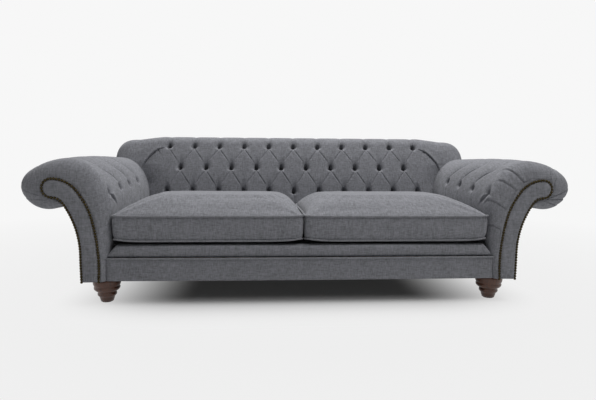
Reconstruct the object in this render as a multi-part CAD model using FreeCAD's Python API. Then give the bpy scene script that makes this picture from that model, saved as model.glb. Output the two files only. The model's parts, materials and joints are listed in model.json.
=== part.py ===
import FreeCAD, Part
import math
import os

# Chesterfield sofa with deep-buttoned back and arms and two loose seat cushions.
# Millimetres. X to the right and left or right as seen from the front, Y to the back, Z up from the floor.

V = FreeCAD.Vector

# Overall size
WIDTH = 2450.0
DEPTH = 980.0
HEIGHT = 789.0
FOOT_HEIGHT = 107.0
DUST_COVER = 1.0
BASE_Z = FOOT_HEIGHT + DUST_COVER
GAP = 1.0

# Places along Y, from the nail heads at the front to the roll of the back
FRONT_Y = -DEPTH / 2
NAIL_PROUD = 3.0
FACING_THICK = 15.0
BOARD_THICK = 22.0
FACING_FRONT = FRONT_Y + NAIL_PROUD
BOARD_FRONT = FACING_FRONT + FACING_THICK
BOARD_BACK = BOARD_FRONT + BOARD_THICK
ARM_REAR = 425.0
REAR_PANEL = 8.0
REAR_BOARD = ARM_REAR - BOARD_THICK
RAIL_THICK = 28.0

# Arm: the roll, the crook-shaped facing with its nail line, and the padded skin between them
ROLL_RADIUS = 108.0
ROLL_X = WIDTH / 2 - ROLL_RADIUS
ROLL_Z = 524.0
ROLL_TACK = -128.3
CROOK_X = 1078.0
CROOK_Z = 515.0
CROOK_RADIUS = 40.0
FACING_EDGE = 5.0
SKIN_FOOT = (858.0, BASE_Z)
SKIN_WAIST = (846.0, 420.0)
SKIN_SHOULDER = (897.0, 588.0)
SKIN_CREST = (1045.0, 659.0)
SKIN_HEADING = 95.4
NAIL_FOOT = (892.0, BASE_Z)
NAIL_WAIST = (914.0, 377.0)
NAIL_SHOULDER = (977.0, 506.0)
NAIL_UNDER_ROLL = (1034.0, 451.6)
NAIL_OUTSIDE = (966.0, 230.0)
NAIL_OUTER_FOOT = (964.0, BASE_Z)
NAIL_HEADING = 94.5
NOSE_DEPTH = 62.0
END_ROUNDNESS = 0.985
CREST_DIP = 21.0
DIP_BETWEEN = (460.0, 620.0)
PANEL_THICK = 7.0
NAIL_HALF = 4.5
BOARD_INSET = 3.0
ARM_RAIL_HEIGHT = 52.0
LINER_RAIL = (0.46, 0.64)

# Back: its front is one long arc up to the roll
BACK_FOOT = (165.0, 245.0)
BACK_HEADING = 86.0
BACK_ROLL_RADIUS = 92.0
BACK_ROLL_Y = DEPTH / 2 - BACK_ROLL_RADIUS
BACK_ROLL_Z = HEIGHT - BACK_ROLL_RADIUS
BACK_ROLL_FRONT = 150.0
BACK_ROLL_TOP = 50.0
BACK_ROLL_REAR = -30.0
BACK_TACK = -57.0
BACK_HALF = 1066.0
SHOULDER_RADIUS = 124.0
CORE_FOOT = (245.0, 245.0)
CORE_KNEE = (330.0, 640.0)
CORE_TOP = (400.0, 688.0)
CORE_REAR = (436.0, 652.0)
CORE_TACK = (436.0, 628.0)
CORE_HEADING = 86.8
CORE_DROP = 60.0
PANEL_DROP = 3.0

# Deep buttoning: covered buttons in staggered rows, with pleats between them
BUTTON_RADIUS = 11.0
BUTTON_HEIGHT = 7.0
PIT_FLOOR = 12.5
PIT_DEPTH = 42.0
PIT_REACH = 62.0
PUFF = 16.0
PUFF_REACH = 34.0
BACK_PITCH = 149.5
BACK_COLUMNS = 11
BACK_ROWS = (0.42, 0.70, 0.97)
ARM_BUTTONS_Y = (-412.0, -248.0, -92.0, 70.0)
ARM_ROW = (0.435, 0.626)
ARM_ROW_EDGE = 0.08
ARM_LOW_ROW = 0.74
ARM_LOW_EDGE = 0.042

# Seat: border, edge roll, deck and two cushions
BORDER_TOP = 205.0
BORDER_FRONT = -475.0
BORDER_BOW = 8.0
PIPING_RADIUS = 4.5
RAIL_TOP = 202.0
STRAP_WIDTH = 50.0
STRAP_THICK = 3.0
STRAP_PITCH = 190.0
STRAPS_PER_HALF = 4
STRAP_TACK = 4.0
CROSS_STRAPS_Y = (-330.0, -180.0, -30.0, 120.0)
LIP_BOTTOM = 209.0
LIP_TOP = 266.0
LIP_BACK = -424.0
LIP_INSET = 5.0
LIP_LEAN = 4.0
LIP_SHOULDER = 38.0
LIP_ROUND = 30.0
DECK_TOP = 262.0
DECK_REAR = 150.0
CUSHION_INNER = 2.5
CUSHION_OUTER = 840.0
CUSHION_FRONT = -462.0
CUSHION_REAR = 138.0
SEAM_LOW = 283.0
SEAM_HIGH = 391.0
CUSHION_CROWN = 86.0
CUSHION_BELLY = 15.0
CROWN_REACH = 200.0
BELLY_REACH = 200.0
CROWN_ROUNDING = 120.0
CUSHION_CORNER = 28.0
DRAW_IN = 1.2
BOXING_BULGE = 2.5
COVER_THICK = 12.0

# Frame below the seat and the feet
SIDE_RAIL = (922.0, 950.0)
SIDE_RAIL_TOP = RAIL_TOP + STRAP_THICK
BLOCK_LEG = 110.0
BLOCK_TOP = 150.0
BRACES_X = (-300.0, 300.0)
BRACE_HEIGHT = 70.0
DUST_EDGE = 2.0
FOOT_X = 885.0
FOOT_INSET = 19.0
GLIDE_RADIUS = 22.0
GLIDE_HEIGHT = 3.0
BOLT_RADIUS = 4.0
BOLT_BOTTOM = 62.0
BORE_ROOM = 0.3
TEE_RADIUS = 11.0
TEE_BARREL = 5.0
TEE_DEPTH = 10.0
TEE_FLANGE = 1.5

FRONT_RAIL = (BOARD_BACK, BOARD_BACK + RAIL_THICK)
REAR_RAIL = (REAR_BOARD - RAIL_THICK, REAR_BOARD)
FRONT_FOOT_Y = FRONT_RAIL[1] + FOOT_INSET
REAR_FOOT_Y = REAR_RAIL[0] - FOOT_INSET
UPRIGHTS_X = (-815.0, -280.0, 280.0, 815.0)
UPRIGHT_THICK = 30.0
WEB_GAP = 4.0
UPRIGHT_KNEE = 20.0
TOP_RAIL_HALF = 925.0
TOP_RAIL_Y = (378.0, 422.0)
TOP_RAIL_HEIGHT = 36.0
LOWER_RAIL = (0.02, 0.15)
BACK_STRAPS = (0.03, 0.22, 0.41, 0.60, 0.79)


# Paths of tangent arcs in a plane

def polar(centre, radius, degrees):
    """Point of a circle."""
    angle = math.radians(degrees)
    return (centre[0] + radius * math.cos(angle), centre[1] + radius * math.sin(angle))


def tangent_path(start, degrees, points):
    """Chain of arcs through the points; each leaves in the direction in which the last one arrived."""
    path = [(start, math.radians(degrees))]
    for point in points:
        here, heading = path[-1]
        chord = math.atan2(point[1] - here[1], point[0] - here[0])
        half_turn = math.remainder(chord - heading, 2 * math.pi)
        path.append((point, heading + 2 * half_turn))
    return path


def arc_length(path, arc):
    """Length of one arc of a path."""
    (start, heading), (end, arrival) = path[arc], path[arc + 1]
    chord = math.dist(start, end)
    turn = arrival - heading
    if abs(turn) < 1e-6:
        return chord
    return chord * (turn / 2) / math.sin(turn / 2)


def point_on(path, arc, fraction, offset=0.0):
    """Point at a fraction of one arc, moved to the left of its direction by the offset."""
    (start, heading), (end, arrival) = path[arc], path[arc + 1]
    turn = arrival - heading
    here = heading + turn * fraction
    if abs(turn) < 1e-6:
        x = start[0] + (end[0] - start[0]) * fraction
        z = start[1] + (end[1] - start[1]) * fraction
    else:
        radius = math.dist(start, end) / (2 * math.sin(turn / 2))
        x = start[0] + radius * (math.sin(here) - math.sin(heading))
        z = start[1] + radius * (math.cos(heading) - math.cos(here))
    return (x - offset * math.sin(here), z + offset * math.cos(here))


def path_points(path, offset=0.0):
    """Ends and middles of all arcs of a path, beside it by the offset."""
    points = [point_on(path, 0, 0.0, offset)]
    for arc in range(len(path) - 1):
        points.append(point_on(path, arc, 0.5, offset))
        points.append(point_on(path, arc, 1.0, offset))
    return points


# Planes and solids

def arm_plane(y):
    """Puts a point of the arm's cross-section at a depth."""
    return lambda point: V(point[0], y, point[1])


def back_plane(x):
    """Puts a point of the back's cross-section at a place across the sofa."""
    return lambda point: V(x, point[0], point[1])


def floor_plane(z):
    """Puts a point of a plan at a height."""
    return lambda point: V(point[0], point[1], z)


def curve(points):
    """Line through two points or arc through three."""
    if len(points) == 2:
        return Part.LineSegment(*points).toShape()
    across = points[2] - points[0]
    bend = (points[1] - points[0]).cross(across)
    if bend.Length < 1e-6 * across.Length ** 2:
        return Part.LineSegment(points[0], points[2]).toShape()
    return Part.Arc(*points).toShape()


def closed_wire(points, spans, plane):
    """Wire of lines and arcs whose spans name their points."""
    placed = [plane(point) for point in points]
    return Part.Wire([curve([placed[index] for index in span]) for span in spans])


def arc_spans(first, count):
    """Spans of a row of arcs that share their ends."""
    return [(first + 2 * i, first + 2 * i + 1, first + 2 * i + 2) for i in range(count)]


def slab(points, spans, plane, direction):
    """Solid swept from a flat outline."""
    return Part.Face(closed_wire(points, spans, plane)).extrude(direction)


def band_outline(path, arc, start, end, low, high):
    """Outline between two offsets along part of one arc."""
    middle = (start + end) / 2
    near = [point_on(path, arc, at, low) for at in (start, middle, end)]
    far = [point_on(path, arc, at, high) for at in (end, middle, start)]
    return near + far, [(0, 1, 2), (2, 3), (3, 4, 5), (5, 0)]


def block(x, y, z):
    """Box between two limits on each axis."""
    corner = V(x[0], y[0], z[0])
    return Part.makeBox(x[1] - x[0], y[1] - y[0], z[1] - z[0], corner)


def upright_cylinder(radius, place, low, high):
    """Vertical cylinder between two heights."""
    return Part.makeCylinder(radius, high - low, V(place[0], place[1], low))


def mirrored(shape):
    """Copy on the other side of the sofa's middle plane."""
    return shape.mirror(V(0, 0, 0), V(1, 0, 0))


def joined(shapes):
    """Solids fused into one."""
    return shapes[0].multiFuse(shapes[1:]).removeSplitter()


# Outlines of the right arm and of the back

def arm_skin():
    """Outer skin of the arm pad, from the seat over the roll to the tack line under it."""
    centre = (ROLL_X, ROLL_Z)
    roll = [polar(centre, ROLL_RADIUS, angle) for angle in (50.0, -30.0, ROLL_TACK)]
    return tangent_path(SKIN_FOOT, SKIN_HEADING, [SKIN_WAIST, SKIN_SHOULDER, SKIN_CREST] + roll)


def nail_path():
    """Nail line of the facing, up its inner edge, round the crook and down the outside."""
    centre = (CROOK_X, CROOK_Z)
    crook = [polar(centre, CROOK_RADIUS, angle) for angle in (90.0, 0.0, -90.0)]
    outside = [NAIL_UNDER_ROLL, NAIL_OUTSIDE, NAIL_OUTER_FOOT]
    return tangent_path(NAIL_FOOT, NAIL_HEADING, [NAIL_WAIST, NAIL_SHOULDER] + crook + outside)


def back_skin():
    """Outer skin of the back pad, from the seat over the roll to the tack line behind it."""
    centre = (BACK_ROLL_Y, BACK_ROLL_Z)
    angles = (BACK_ROLL_FRONT, BACK_ROLL_TOP, BACK_ROLL_REAR, BACK_TACK)
    roll = [polar(centre, BACK_ROLL_RADIUS, angle) for angle in angles]
    return tangent_path(BACK_FOOT, BACK_HEADING, roll)


def back_core():
    """Hollow side of the back pad, which lies on the webbing and over the top rail."""
    return tangent_path(CORE_FOOT, CORE_HEADING, [CORE_KNEE, CORE_TOP, CORE_REAR, CORE_TACK])


ARM_SKIN = arm_skin()
NAIL_PATH = nail_path()
BACK_SKIN = back_skin()
BACK_CORE = back_core()
PAD_ARCS = 6


def arm_outline(offset):
    """Whole cross-section of an arm: skin, then the outside below the roll."""
    skin = path_points(ARM_SKIN, offset)
    outside = path_points(NAIL_PATH[PAD_ARCS:], FACING_EDGE)
    points = skin + outside
    turn = len(skin)
    spans = arc_spans(0, PAD_ARCS) + [(turn - 1, turn)] + arc_spans(turn, 2) + [(len(points) - 1, 0)]
    return points, spans


def arm_envelope(room):
    """Space of both arms with room round them, cut out of the pieces between the arms."""
    points, spans = arm_outline(room)
    right = slab(points, spans, arm_plane(FRONT_Y), V(0, DEPTH, 0))
    return [right, mirrored(right)]


# Deep buttoning

def distance_to(place, line):
    """Distance of a point from a straight pleat."""
    (x0, y0), (x1, y1) = line
    run = (x1 - x0, y1 - y0)
    along = ((place[0] - x0) * run[0] + (place[1] - y0) * run[1]) / (run[0] ** 2 + run[1] ** 2)
    along = min(1.0, max(0.0, along))
    return math.dist(place, (x0 + along * run[0], y0 + along * run[1]))


def tuft_height(place, buttons, pleats):
    """Height of the buttoned cover under its fullest surface: puffs, pleats and a flat pit at each button."""
    nearest_pleat = min(distance_to(place, pleat) for pleat in pleats)
    nearest_button = min(math.dist(place, button) for button in buttons)
    pleat = -PUFF * (1.0 - math.sin(math.pi / 2 * min(1.0, nearest_pleat / PUFF_REACH)))
    floor = PIT_FLOOR * 1.5
    slope = min(1.0, max(0.0, (nearest_button - floor) / (PIT_REACH - floor)))
    return pleat * slope - PIT_DEPTH * (1.0 - slope) ** 1.5


def button_solid(place, outward):
    """Domed covered button, a cap of a sphere whose flat back lies just clear of the floor of its pit."""
    sphere = (BUTTON_RADIUS ** 2 + BUTTON_HEIGHT ** 2) / (2 * BUTTON_HEIGHT)
    sunk = sphere - BUTTON_HEIGHT - GAP
    latitude = math.degrees(math.asin((sphere - BUTTON_HEIGHT) / sphere))
    return Part.makeSphere(sphere, place - outward * sunk, outward, latitude, 90, 360)


def pit_centre(low, high, outward_hint):
    """Middle of a pit's floor and the direction that it faces, from the floor's two edges."""
    along = (high - low).normalize()
    outward = outward_hint - along * outward_hint.dot(along)
    return (low + high) * 0.5, outward.normalize()


# Arm pads

def arm_row(y):
    """Share of the skin's second arc at which the upper button row runs; it rises to the back."""
    first, last = ARM_BUTTONS_Y[0], ARM_BUTTONS_Y[-1]
    along = min(1.0, max(0.0, (y - first) / (last - first)))
    return ARM_ROW[0] + (ARM_ROW[1] - ARM_ROW[0]) * along


def arm_stations(y):
    """Stations of the arm's skin at a depth: each button row has the two edges of its pit's floor."""
    row = arm_row(y)
    lower = [0.0, 0.36, ARM_LOW_ROW - ARM_LOW_EDGE, ARM_LOW_ROW + ARM_LOW_EDGE, 0.9]
    upper = [0.0, 0.2, row - ARM_ROW_EDGE, row + ARM_ROW_EDGE, (1.0 + row + ARM_ROW_EDGE) / 2]
    roll = [(arc, fraction) for arc in (2, 3, 4, 5) for fraction in (0.0, 0.5)]
    return [(0, at) for at in lower] + [(1, at) for at in upper] + roll + [(5, 1.0)]


ARM_SPANS = [(0, 1, 2), (2, 3), (3, 4, 5), (5, 6, 7), (7, 8), (8, 9, 10)] + arc_spans(10, 4)
ARM_PIT = (7, 8)
ARM_LOW_PIT = (2, 3)
TUFTED_ARCS = 4


def arm_height(arc, fraction):
    """Length along the arm's skin from its foot."""
    return sum(arc_length(ARM_SKIN, i) for i in range(arc)) + arc_length(ARM_SKIN, arc) * fraction


def arm_tufts():
    """Buttons and pleats of an arm, as places along Y and along the skin."""
    low_row = arm_height(0, ARM_LOW_ROW)
    over_roll = arm_height(TUFTED_ARCS, 0.0)
    upper = [(y, arm_height(1, arm_row(y))) for y in ARM_BUTTONS_Y]
    lower = [((a + b) / 2, low_row) for a, b in zip(ARM_BUTTONS_Y, ARM_BUTTONS_Y[1:])]
    pleats = [(button, (button[0], over_roll)) for button in upper]
    pleats += [(button, (button[0], 0.0)) for button in lower]
    pleats += [pair for pair in zip(upper, lower)]
    pleats += [pair for pair in zip(upper[1:], lower)]
    return upper, lower, pleats


def nose_depth(y):
    """Share of the rounded front that lies behind a place: 1 at the facing, 0 behind the rounded front."""
    return min(1.0, max(0.0, (FACING_FRONT + NOSE_DEPTH - y) / NOSE_DEPTH))


def crest_dip(y, height):
    """How far the arm's crest lies lower towards its front."""
    forward = max(0.0, y / FACING_FRONT)
    low, high = DIP_BETWEEN
    raised = min(1.0, max(0.0, (height - low) / (high - low)))
    return CREST_DIP * forward ** 2 * raised ** 2 * (3.0 - 2.0 * raised)


def nose_blend(y):
    """How far the skin has drawn in to the facing at a depth: 1 at the facing, 0 behind the rounded front."""
    return 1.0 - math.sqrt(1.0 - (END_ROUNDNESS * nose_depth(y)) ** 2)


def arm_section_points(y, tufts):
    """Skin points of one cross-section of the arm pad."""
    upper, lower, pleats = tufts
    blend = nose_blend(y)
    points = []
    for arc, fraction in arm_stations(y):
        place = (y, arm_height(arc, fraction))
        fade = 0.0 if arc > TUFTED_ARCS else 1.0 - nose_depth(y)
        relief = fade * tuft_height(place, upper + lower, pleats)
        skin = point_on(ARM_SKIN, arc, fraction, relief)
        skin = (skin[0], skin[1] - crest_dip(y, skin[1]))
        facing = point_on(NAIL_PATH, arc, fraction, FACING_EDGE + GAP)
        points.append(tuple(s + (f - s) * blend for s, f in zip(skin, facing)))
    return points


def arm_section_depths():
    """Places along Y of the arm pad's cross-sections."""
    depths = [FACING_FRONT + NOSE_DEPTH * (1 - math.sin(math.radians(a))) for a in (90, 72, 54, 36, 18)]
    for front, rear in zip(ARM_BUTTONS_Y, ARM_BUTTONS_Y[1:]):
        middle = (front + rear) / 2
        for column, following in ((front, middle), (middle, rear)):
            depths += [column - PIT_FLOOR, column, column + PIT_FLOOR, (column + following) / 2]
    last = ARM_BUTTONS_Y[-1]
    middle = (last + ARM_REAR) / 2
    return depths + [last - PIT_FLOOR, last, last + PIT_FLOOR, last + BACK_PITCH / 2, middle, ARM_REAR]


def arm_pad():
    """Buttoned pad of the right arm: seat side, roll and rounded front, hollow towards the frame."""
    tufts = arm_tufts()
    core = path_points(NAIL_PATH[:PAD_ARCS + 1], FACING_EDGE + GAP / 2)[::-1]
    turn = len(arm_stations(ARM_REAR))
    last = turn + len(core) - 1
    spans = ARM_SPANS + [(turn - 1, turn)] + arc_spans(turn, PAD_ARCS) + [(last, 0)]
    wires = []
    for y in arm_section_depths():
        points = arm_section_points(y, tufts) + core
        wires.append(closed_wire(points, spans, arm_plane(y)))
    pad = Part.makeLoft(wires, True, True)
    rails = block((0, SIDE_RAIL[1]), (BOARD_BACK - GAP / 2, ARM_REAR + GAP), (0, LIP_BOTTOM + GAP))
    return pad.cut(rails)


def arm_buttons():
    """Covered buttons of the right arm."""
    tufts = arm_tufts()
    upper, lower, _ = tufts
    inward = V(-1, 0, 0)
    buttons = []
    for row, pit in ((upper, ARM_PIT), (lower, ARM_LOW_PIT)):
        for y, _ in row:
            points = arm_section_points(y, tufts)
            low, high = (arm_plane(y)(points[index]) for index in pit)
            buttons.append(button_solid(*pit_centre(low, high, inward)))
    return Part.makeCompound(buttons)


def arm_outside():
    """Outside panel of the right arm, from the base up under the roll."""
    outer = path_points(NAIL_PATH[PAD_ARCS:], FACING_EDGE)
    inner = path_points(NAIL_PATH[PAD_ARCS:], FACING_EDGE - PANEL_THICK)[::-1]
    turn = len(outer)
    points = outer + inner
    spans = arc_spans(0, 2) + [(turn - 1, turn)] + arc_spans(turn, 2) + [(len(points) - 1, 0)]
    return slab(points, spans, arm_plane(BOARD_FRONT), V(0, ARM_REAR - BOARD_FRONT, 0))


def crook(offset, front, thick):
    """Crook-shaped panel of the arm's end, offset from the nail line."""
    points = path_points(NAIL_PATH, offset)
    spans = arc_spans(0, len(NAIL_PATH) - 1) + [(len(points) - 1, 0)]
    return slab(points, spans, arm_plane(front), V(0, thick, 0))


def nail_trim():
    """Row of close nails round the facing, as one raised strip."""
    outer = path_points(NAIL_PATH, NAIL_HALF)
    inner = path_points(NAIL_PATH, -NAIL_HALF)[::-1]
    turn = len(outer)
    arcs = len(NAIL_PATH) - 1
    points = outer + inner
    spans = arc_spans(0, arcs) + [(turn - 1, turn)] + arc_spans(turn, arcs) + [(len(points) - 1, 0)]
    return slab(points, spans, arm_plane(FRONT_Y), V(0, NAIL_PROUD, 0))


def arm_top_rail():
    """Rail inside the crook's head, between the two boards of the arm."""
    half = RAIL_THICK / 2
    top = CROOK_Z + CROOK_RADIUS - WEB_GAP - STRAP_THICK - GAP
    across = (CROOK_X - half, CROOK_X + half)
    return block(across, (BOARD_BACK, REAR_BOARD), (top - ARM_RAIL_HEIGHT, top))


def arm_liner_rail():
    """Lower rail of the arm, to which webbing and cover are tacked."""
    outline = band_outline(NAIL_PATH, 0, *LINER_RAIL, -WEB_GAP - STRAP_THICK, -WEB_GAP - RAIL_THICK)
    return slab(*outline, arm_plane(BOARD_BACK), V(0, REAR_BOARD - BOARD_BACK, 0))


def arm_webbing():
    """Upright straps of the arm, from the liner rail up over the top rail."""
    straps = []
    for y in ARM_BUTTONS_Y:
        pieces = []
        for arc, start in ((0, LINER_RAIL[0]), (1, 0.0), (2, 0.0)):
            outline = band_outline(NAIL_PATH, arc, start, 1.0, -WEB_GAP, -WEB_GAP - STRAP_THICK)
            pieces.append(slab(*outline, arm_plane(y - STRAP_WIDTH / 2), V(0, STRAP_WIDTH, 0)))
        straps.append(joined(pieces))
    return Part.makeCompound(straps)


# Back

def back_stations():
    """Stations of the back's skin: each button row has the two edges of its pit's floor."""
    edge = PIT_FLOOR / arc_length(BACK_SKIN, 0)
    low, middle, high = BACK_ROWS
    front = [0.0, low / 2, low - edge, low + edge, (low + middle) / 2, middle - edge, middle + edge]
    front += [(middle + high) / 2, high - edge, high + edge]
    roll = [(1, 0.45), (1, 1.0), (2, 0.5), (2, 1.0), (3, 0.5), (3, 1.0)]
    return [(0, fraction) for fraction in front] + roll


BACK_STATIONS = back_stations()
BACK_SPANS = [(0, 1, 2), (2, 3), (3, 4, 5), (5, 6), (6, 7, 8), (8, 9)] + arc_spans(9, 3)
BACK_PITS = ((2, 3), (5, 6), (8, 9))


def back_height(arc, fraction):
    """Length along the back's skin from its foot."""
    return sum(arc_length(BACK_SKIN, i) for i in range(arc)) + arc_length(BACK_SKIN, arc) * fraction


def back_tufts():
    """Buttons of the three rows and the pleats between them, as places along X and along the skin."""
    half = (BACK_COLUMNS - 1) / 2
    wide = [(i - half) * BACK_PITCH for i in range(BACK_COLUMNS)]
    narrow = [x + BACK_PITCH / 2 for x in wide[:-1]]
    heights = [back_height(0, fraction) for fraction in BACK_ROWS]
    over_roll = back_height(2, 1.0)
    rows = [[(x, h) for x in columns] for columns, h in zip((wide, narrow, wide), heights)]
    pleats = [(button, (button[0], 0.0)) for button in rows[0]]
    pleats += [(button, (button[0], over_roll)) for button in rows[2]]
    for outer in (rows[0], rows[2]):
        pleats += [pair for pair in zip(outer, rows[1])]
        pleats += [pair for pair in zip(outer[1:], rows[1])]
    return rows, pleats


def back_section_points(x, rows, pleats):
    """Skin points of one cross-section of the back pad, with the shoulders rounded down at the ends."""
    reach = min(1.0, max(0.0, (abs(x) - BACK_HALF + SHOULDER_RADIUS) / SHOULDER_RADIUS))
    blend = 1.0 - math.sqrt(1.0 - (END_ROUNDNESS * reach) ** 2)
    buttons = [button for row in rows for button in row]
    widest = rows[0][-1][0] + PIT_FLOOR
    points = []
    for arc, fraction in BACK_STATIONS:
        place = (x, back_height(arc, fraction))
        fade = 0.0 if abs(x) > widest or arc > 2 else 1.0
        relief = fade * tuft_height(place, buttons, pleats)
        skin = point_on(BACK_SKIN, arc, fraction, relief)
        core = point_on(BACK_CORE, arc, fraction, GAP)
        points.append(tuple(s + (c - s) * blend for s, c in zip(skin, core)))
    return points


def back_section_places(rows):
    """Places along X of the back pad's cross-sections."""
    quarter = BACK_PITCH / 4
    last = rows[0][-1][0]
    places = []
    for i in range(2 * BACK_COLUMNS - 1):
        column = -last + 2 * quarter * i
        places += [column - PIT_FLOOR, column, column + PIT_FLOOR, column + quarter]
    places = places[:-1]
    shoulder = BACK_HALF - SHOULDER_RADIUS
    ends = [last + quarter, last + 3 * quarter, shoulder - 8.0, shoulder]
    ends += [shoulder + SHOULDER_RADIUS * math.sin(math.radians(a)) for a in (20, 40, 60, 75, 90)]
    return [-x for x in reversed(ends)] + places + ends


def back_pad():
    """Buttoned pad of the back with its roll and shoulders, hollow towards the frame."""
    rows, pleats = back_tufts()
    core = path_points(BACK_CORE)[::-1]
    turn = len(BACK_STATIONS)
    last = turn + len(core) - 1
    spans = BACK_SPANS + [(turn - 1, turn)] + arc_spans(turn, len(BACK_CORE) - 1) + [(last, 0)]
    wires = []
    for x in back_section_places(rows):
        drop = CORE_DROP if abs(x) >= BACK_HALF - SHOULDER_RADIUS else 0.0
        hollow = [(y, z - drop) for y, z in core]
        points = back_section_points(x, rows, pleats) + hollow
        wires.append(closed_wire(points, spans, back_plane(x)))
    pad = Part.makeLoft(wires, True, True)
    below_rolls = block((NAIL_FOOT[0], WIDTH), (0, DEPTH), (0, ROLL_Z))
    return pad.cut(arm_envelope(2 * GAP) + [below_rolls, mirrored(below_rolls)])


def back_buttons():
    """Covered buttons of the back."""
    rows, pleats = back_tufts()
    forward = V(0, -1, 0)
    buttons = []
    for row, pit in zip(rows, BACK_PITS):
        for x, _ in row:
            points = back_section_points(x, rows, pleats)
            low, high = (back_plane(x)(points[index]) for index in pit)
            buttons.append(button_solid(*pit_centre(low, high, forward)))
    return Part.makeCompound(buttons)


def back_outside():
    """Outside back panel: closes the back under its roll and the rear ends of both arms."""
    points, spans = arm_outline(0.0)
    arm = slab(points, spans, arm_plane(ARM_REAR), V(0, REAR_PANEL, 0))
    across = (-NAIL_FOOT[0], NAIL_FOOT[0])
    middle = block(across, (ARM_REAR, ARM_REAR + REAR_PANEL), (BASE_Z, CORE_TACK[1] - PANEL_DROP))
    return joined([middle, arm, mirrored(arm)])


def back_uprights():
    """Shaped uprights that stand on the rear seat rail."""
    front = [point_on(BACK_CORE, 0, at, -WEB_GAP - STRAP_THICK) for at in (0.0, 0.5, 1.0)]
    rear = ARM_REAR - GAP
    top = front[-1][1]
    knee = RAIL_TOP + UPRIGHT_KNEE
    points = front + [(rear, top), (rear, knee), (REAR_RAIL[1], RAIL_TOP), (REAR_RAIL[0], RAIL_TOP)]
    spans = [(0, 1, 2), (2, 3), (3, 4), (4, 5), (5, 6), (6, 0)]
    thick = V(UPRIGHT_THICK, 0, 0)
    boards = [slab(points, spans, back_plane(x - UPRIGHT_THICK / 2), thick) for x in UPRIGHTS_X]
    return Part.makeCompound(boards)


def back_top_rail():
    """Rail on top of the uprights, inside the roll."""
    low = point_on(BACK_CORE, 0, 1.0, -WEB_GAP - STRAP_THICK)[1]
    return block((-TOP_RAIL_HALF, TOP_RAIL_HALF), TOP_RAIL_Y, (low, low + TOP_RAIL_HEIGHT))


def back_lower_rails():
    """Lower rails of the back, between the uprights."""
    outline = band_outline(BACK_CORE, 0, *LOWER_RAIL, -WEB_GAP - STRAP_THICK, -WEB_GAP - RAIL_THICK)
    half = UPRIGHT_THICK / 2
    rails = []
    for left, right in zip(UPRIGHTS_X, UPRIGHTS_X[1:]):
        rails.append(slab(*outline, back_plane(left + half), V(right - left - 2 * half, 0, 0)))
    return Part.makeCompound(rails)


def back_webbing():
    """Straps across the uprights behind the back pad."""
    share = STRAP_WIDTH / arc_length(BACK_CORE, 0)
    half = UPRIGHTS_X[-1] + UPRIGHT_THICK / 2
    straps = []
    for start in BACK_STRAPS:
        outline = band_outline(BACK_CORE, 0, start, start + share, -WEB_GAP, -WEB_GAP - STRAP_THICK)
        straps.append(slab(*outline, back_plane(-half), V(2 * half, 0, 0)))
    return Part.makeCompound(straps)


# Seat

def bowed(outline, spans, half):
    """Solid of a front section that runs across the sofa and bows forward in the middle."""
    wires = []
    for x, bow in ((-half, 0.0), (0.0, BORDER_BOW), (half, 0.0)):
        shifted = [(y - bow if forward else y, z) for y, z, forward in outline]
        wires.append(closed_wire(shifted, spans, back_plane(x)))
    return Part.makeLoft(wires, True, False)


def front_border():
    """Upholstered border below the seat."""
    rear = BOARD_BACK - GAP / 2
    outline = [(rear, BASE_Z, False), (BORDER_FRONT, BASE_Z, True)]
    outline += [(BORDER_FRONT, BORDER_TOP, True), (rear, BORDER_TOP, False)]
    spans = [(0, 1), (1, 2), (2, 3), (3, 0)]
    return bowed(outline, spans, SKIN_FOOT[0]).cut(arm_envelope(GAP))


def front_edge_roll():
    """Padded lip between the border and the cushions."""
    front = BORDER_FRONT + LIP_INSET
    outline = [(LIP_BACK, LIP_BOTTOM, False), (front, LIP_BOTTOM, True)]
    outline += [(front + LIP_LEAN, LIP_BOTTOM + LIP_SHOULDER, True)]
    outline += [(front + LIP_ROUND, LIP_TOP, True), (LIP_BACK, LIP_TOP, False)]
    spans = [(0, 1), (1, 2, 3), (3, 4), (4, 0)]
    return bowed(outline, spans, SKIN_FOOT[0]).cut(arm_envelope(2 * GAP))


def front_piping():
    """Piping along the upper edge of the border."""
    half = point_on(ARM_SKIN, 0, 0.3)[0] - PIPING_RADIUS
    height = (BORDER_TOP + LIP_BOTTOM) / 2
    places = ((-half, BORDER_FRONT), (0.0, BORDER_FRONT - BORDER_BOW), (half, BORDER_FRONT))
    ends = [V(x, y, height) for x, y in places]
    path = Part.Wire([Part.Arc(*ends).toShape()])
    return tube(path, ends[0], ends[1] - ends[0])


def tube(path, start, direction):
    """Piping of round section along a path."""
    ring = Part.Wire([Part.makeCircle(PIPING_RADIUS, start, direction)])
    return path.makePipeShell([ring], True, False)


def deck_pad():
    """Flat pad on the webbing under the cushions."""
    low = RAIL_TOP + 2 * STRAP_THICK + GAP
    deck = block((-SKIN_FOOT[0], SKIN_FOOT[0]), (LIP_BACK + GAP, DECK_REAR), (low, DECK_TOP))
    return deck.cut(arm_envelope(2 * GAP))


def seat_webbing():
    """Straps from front to back on the rails, with cross straps over them."""
    straps = []
    low = RAIL_TOP
    depth = (FRONT_RAIL[0] + STRAP_TACK, REAR_RAIL[1] - STRAP_TACK)
    for i in range(-STRAPS_PER_HALF, STRAPS_PER_HALF + 1):
        x = STRAP_PITCH * i
        across = (x - STRAP_WIDTH / 2, x + STRAP_WIDTH / 2)
        straps.append(block(across, depth, (low, low + STRAP_THICK)))
    half = SIDE_RAIL[1] - STRAP_TACK
    for y in CROSS_STRAPS_Y:
        along = (y - STRAP_WIDTH / 2, y + STRAP_WIDTH / 2)
        straps.append(block((-half, half), along, (SIDE_RAIL_TOP, SIDE_RAIL_TOP + STRAP_THICK)))
    return Part.makeCompound(straps)


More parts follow.
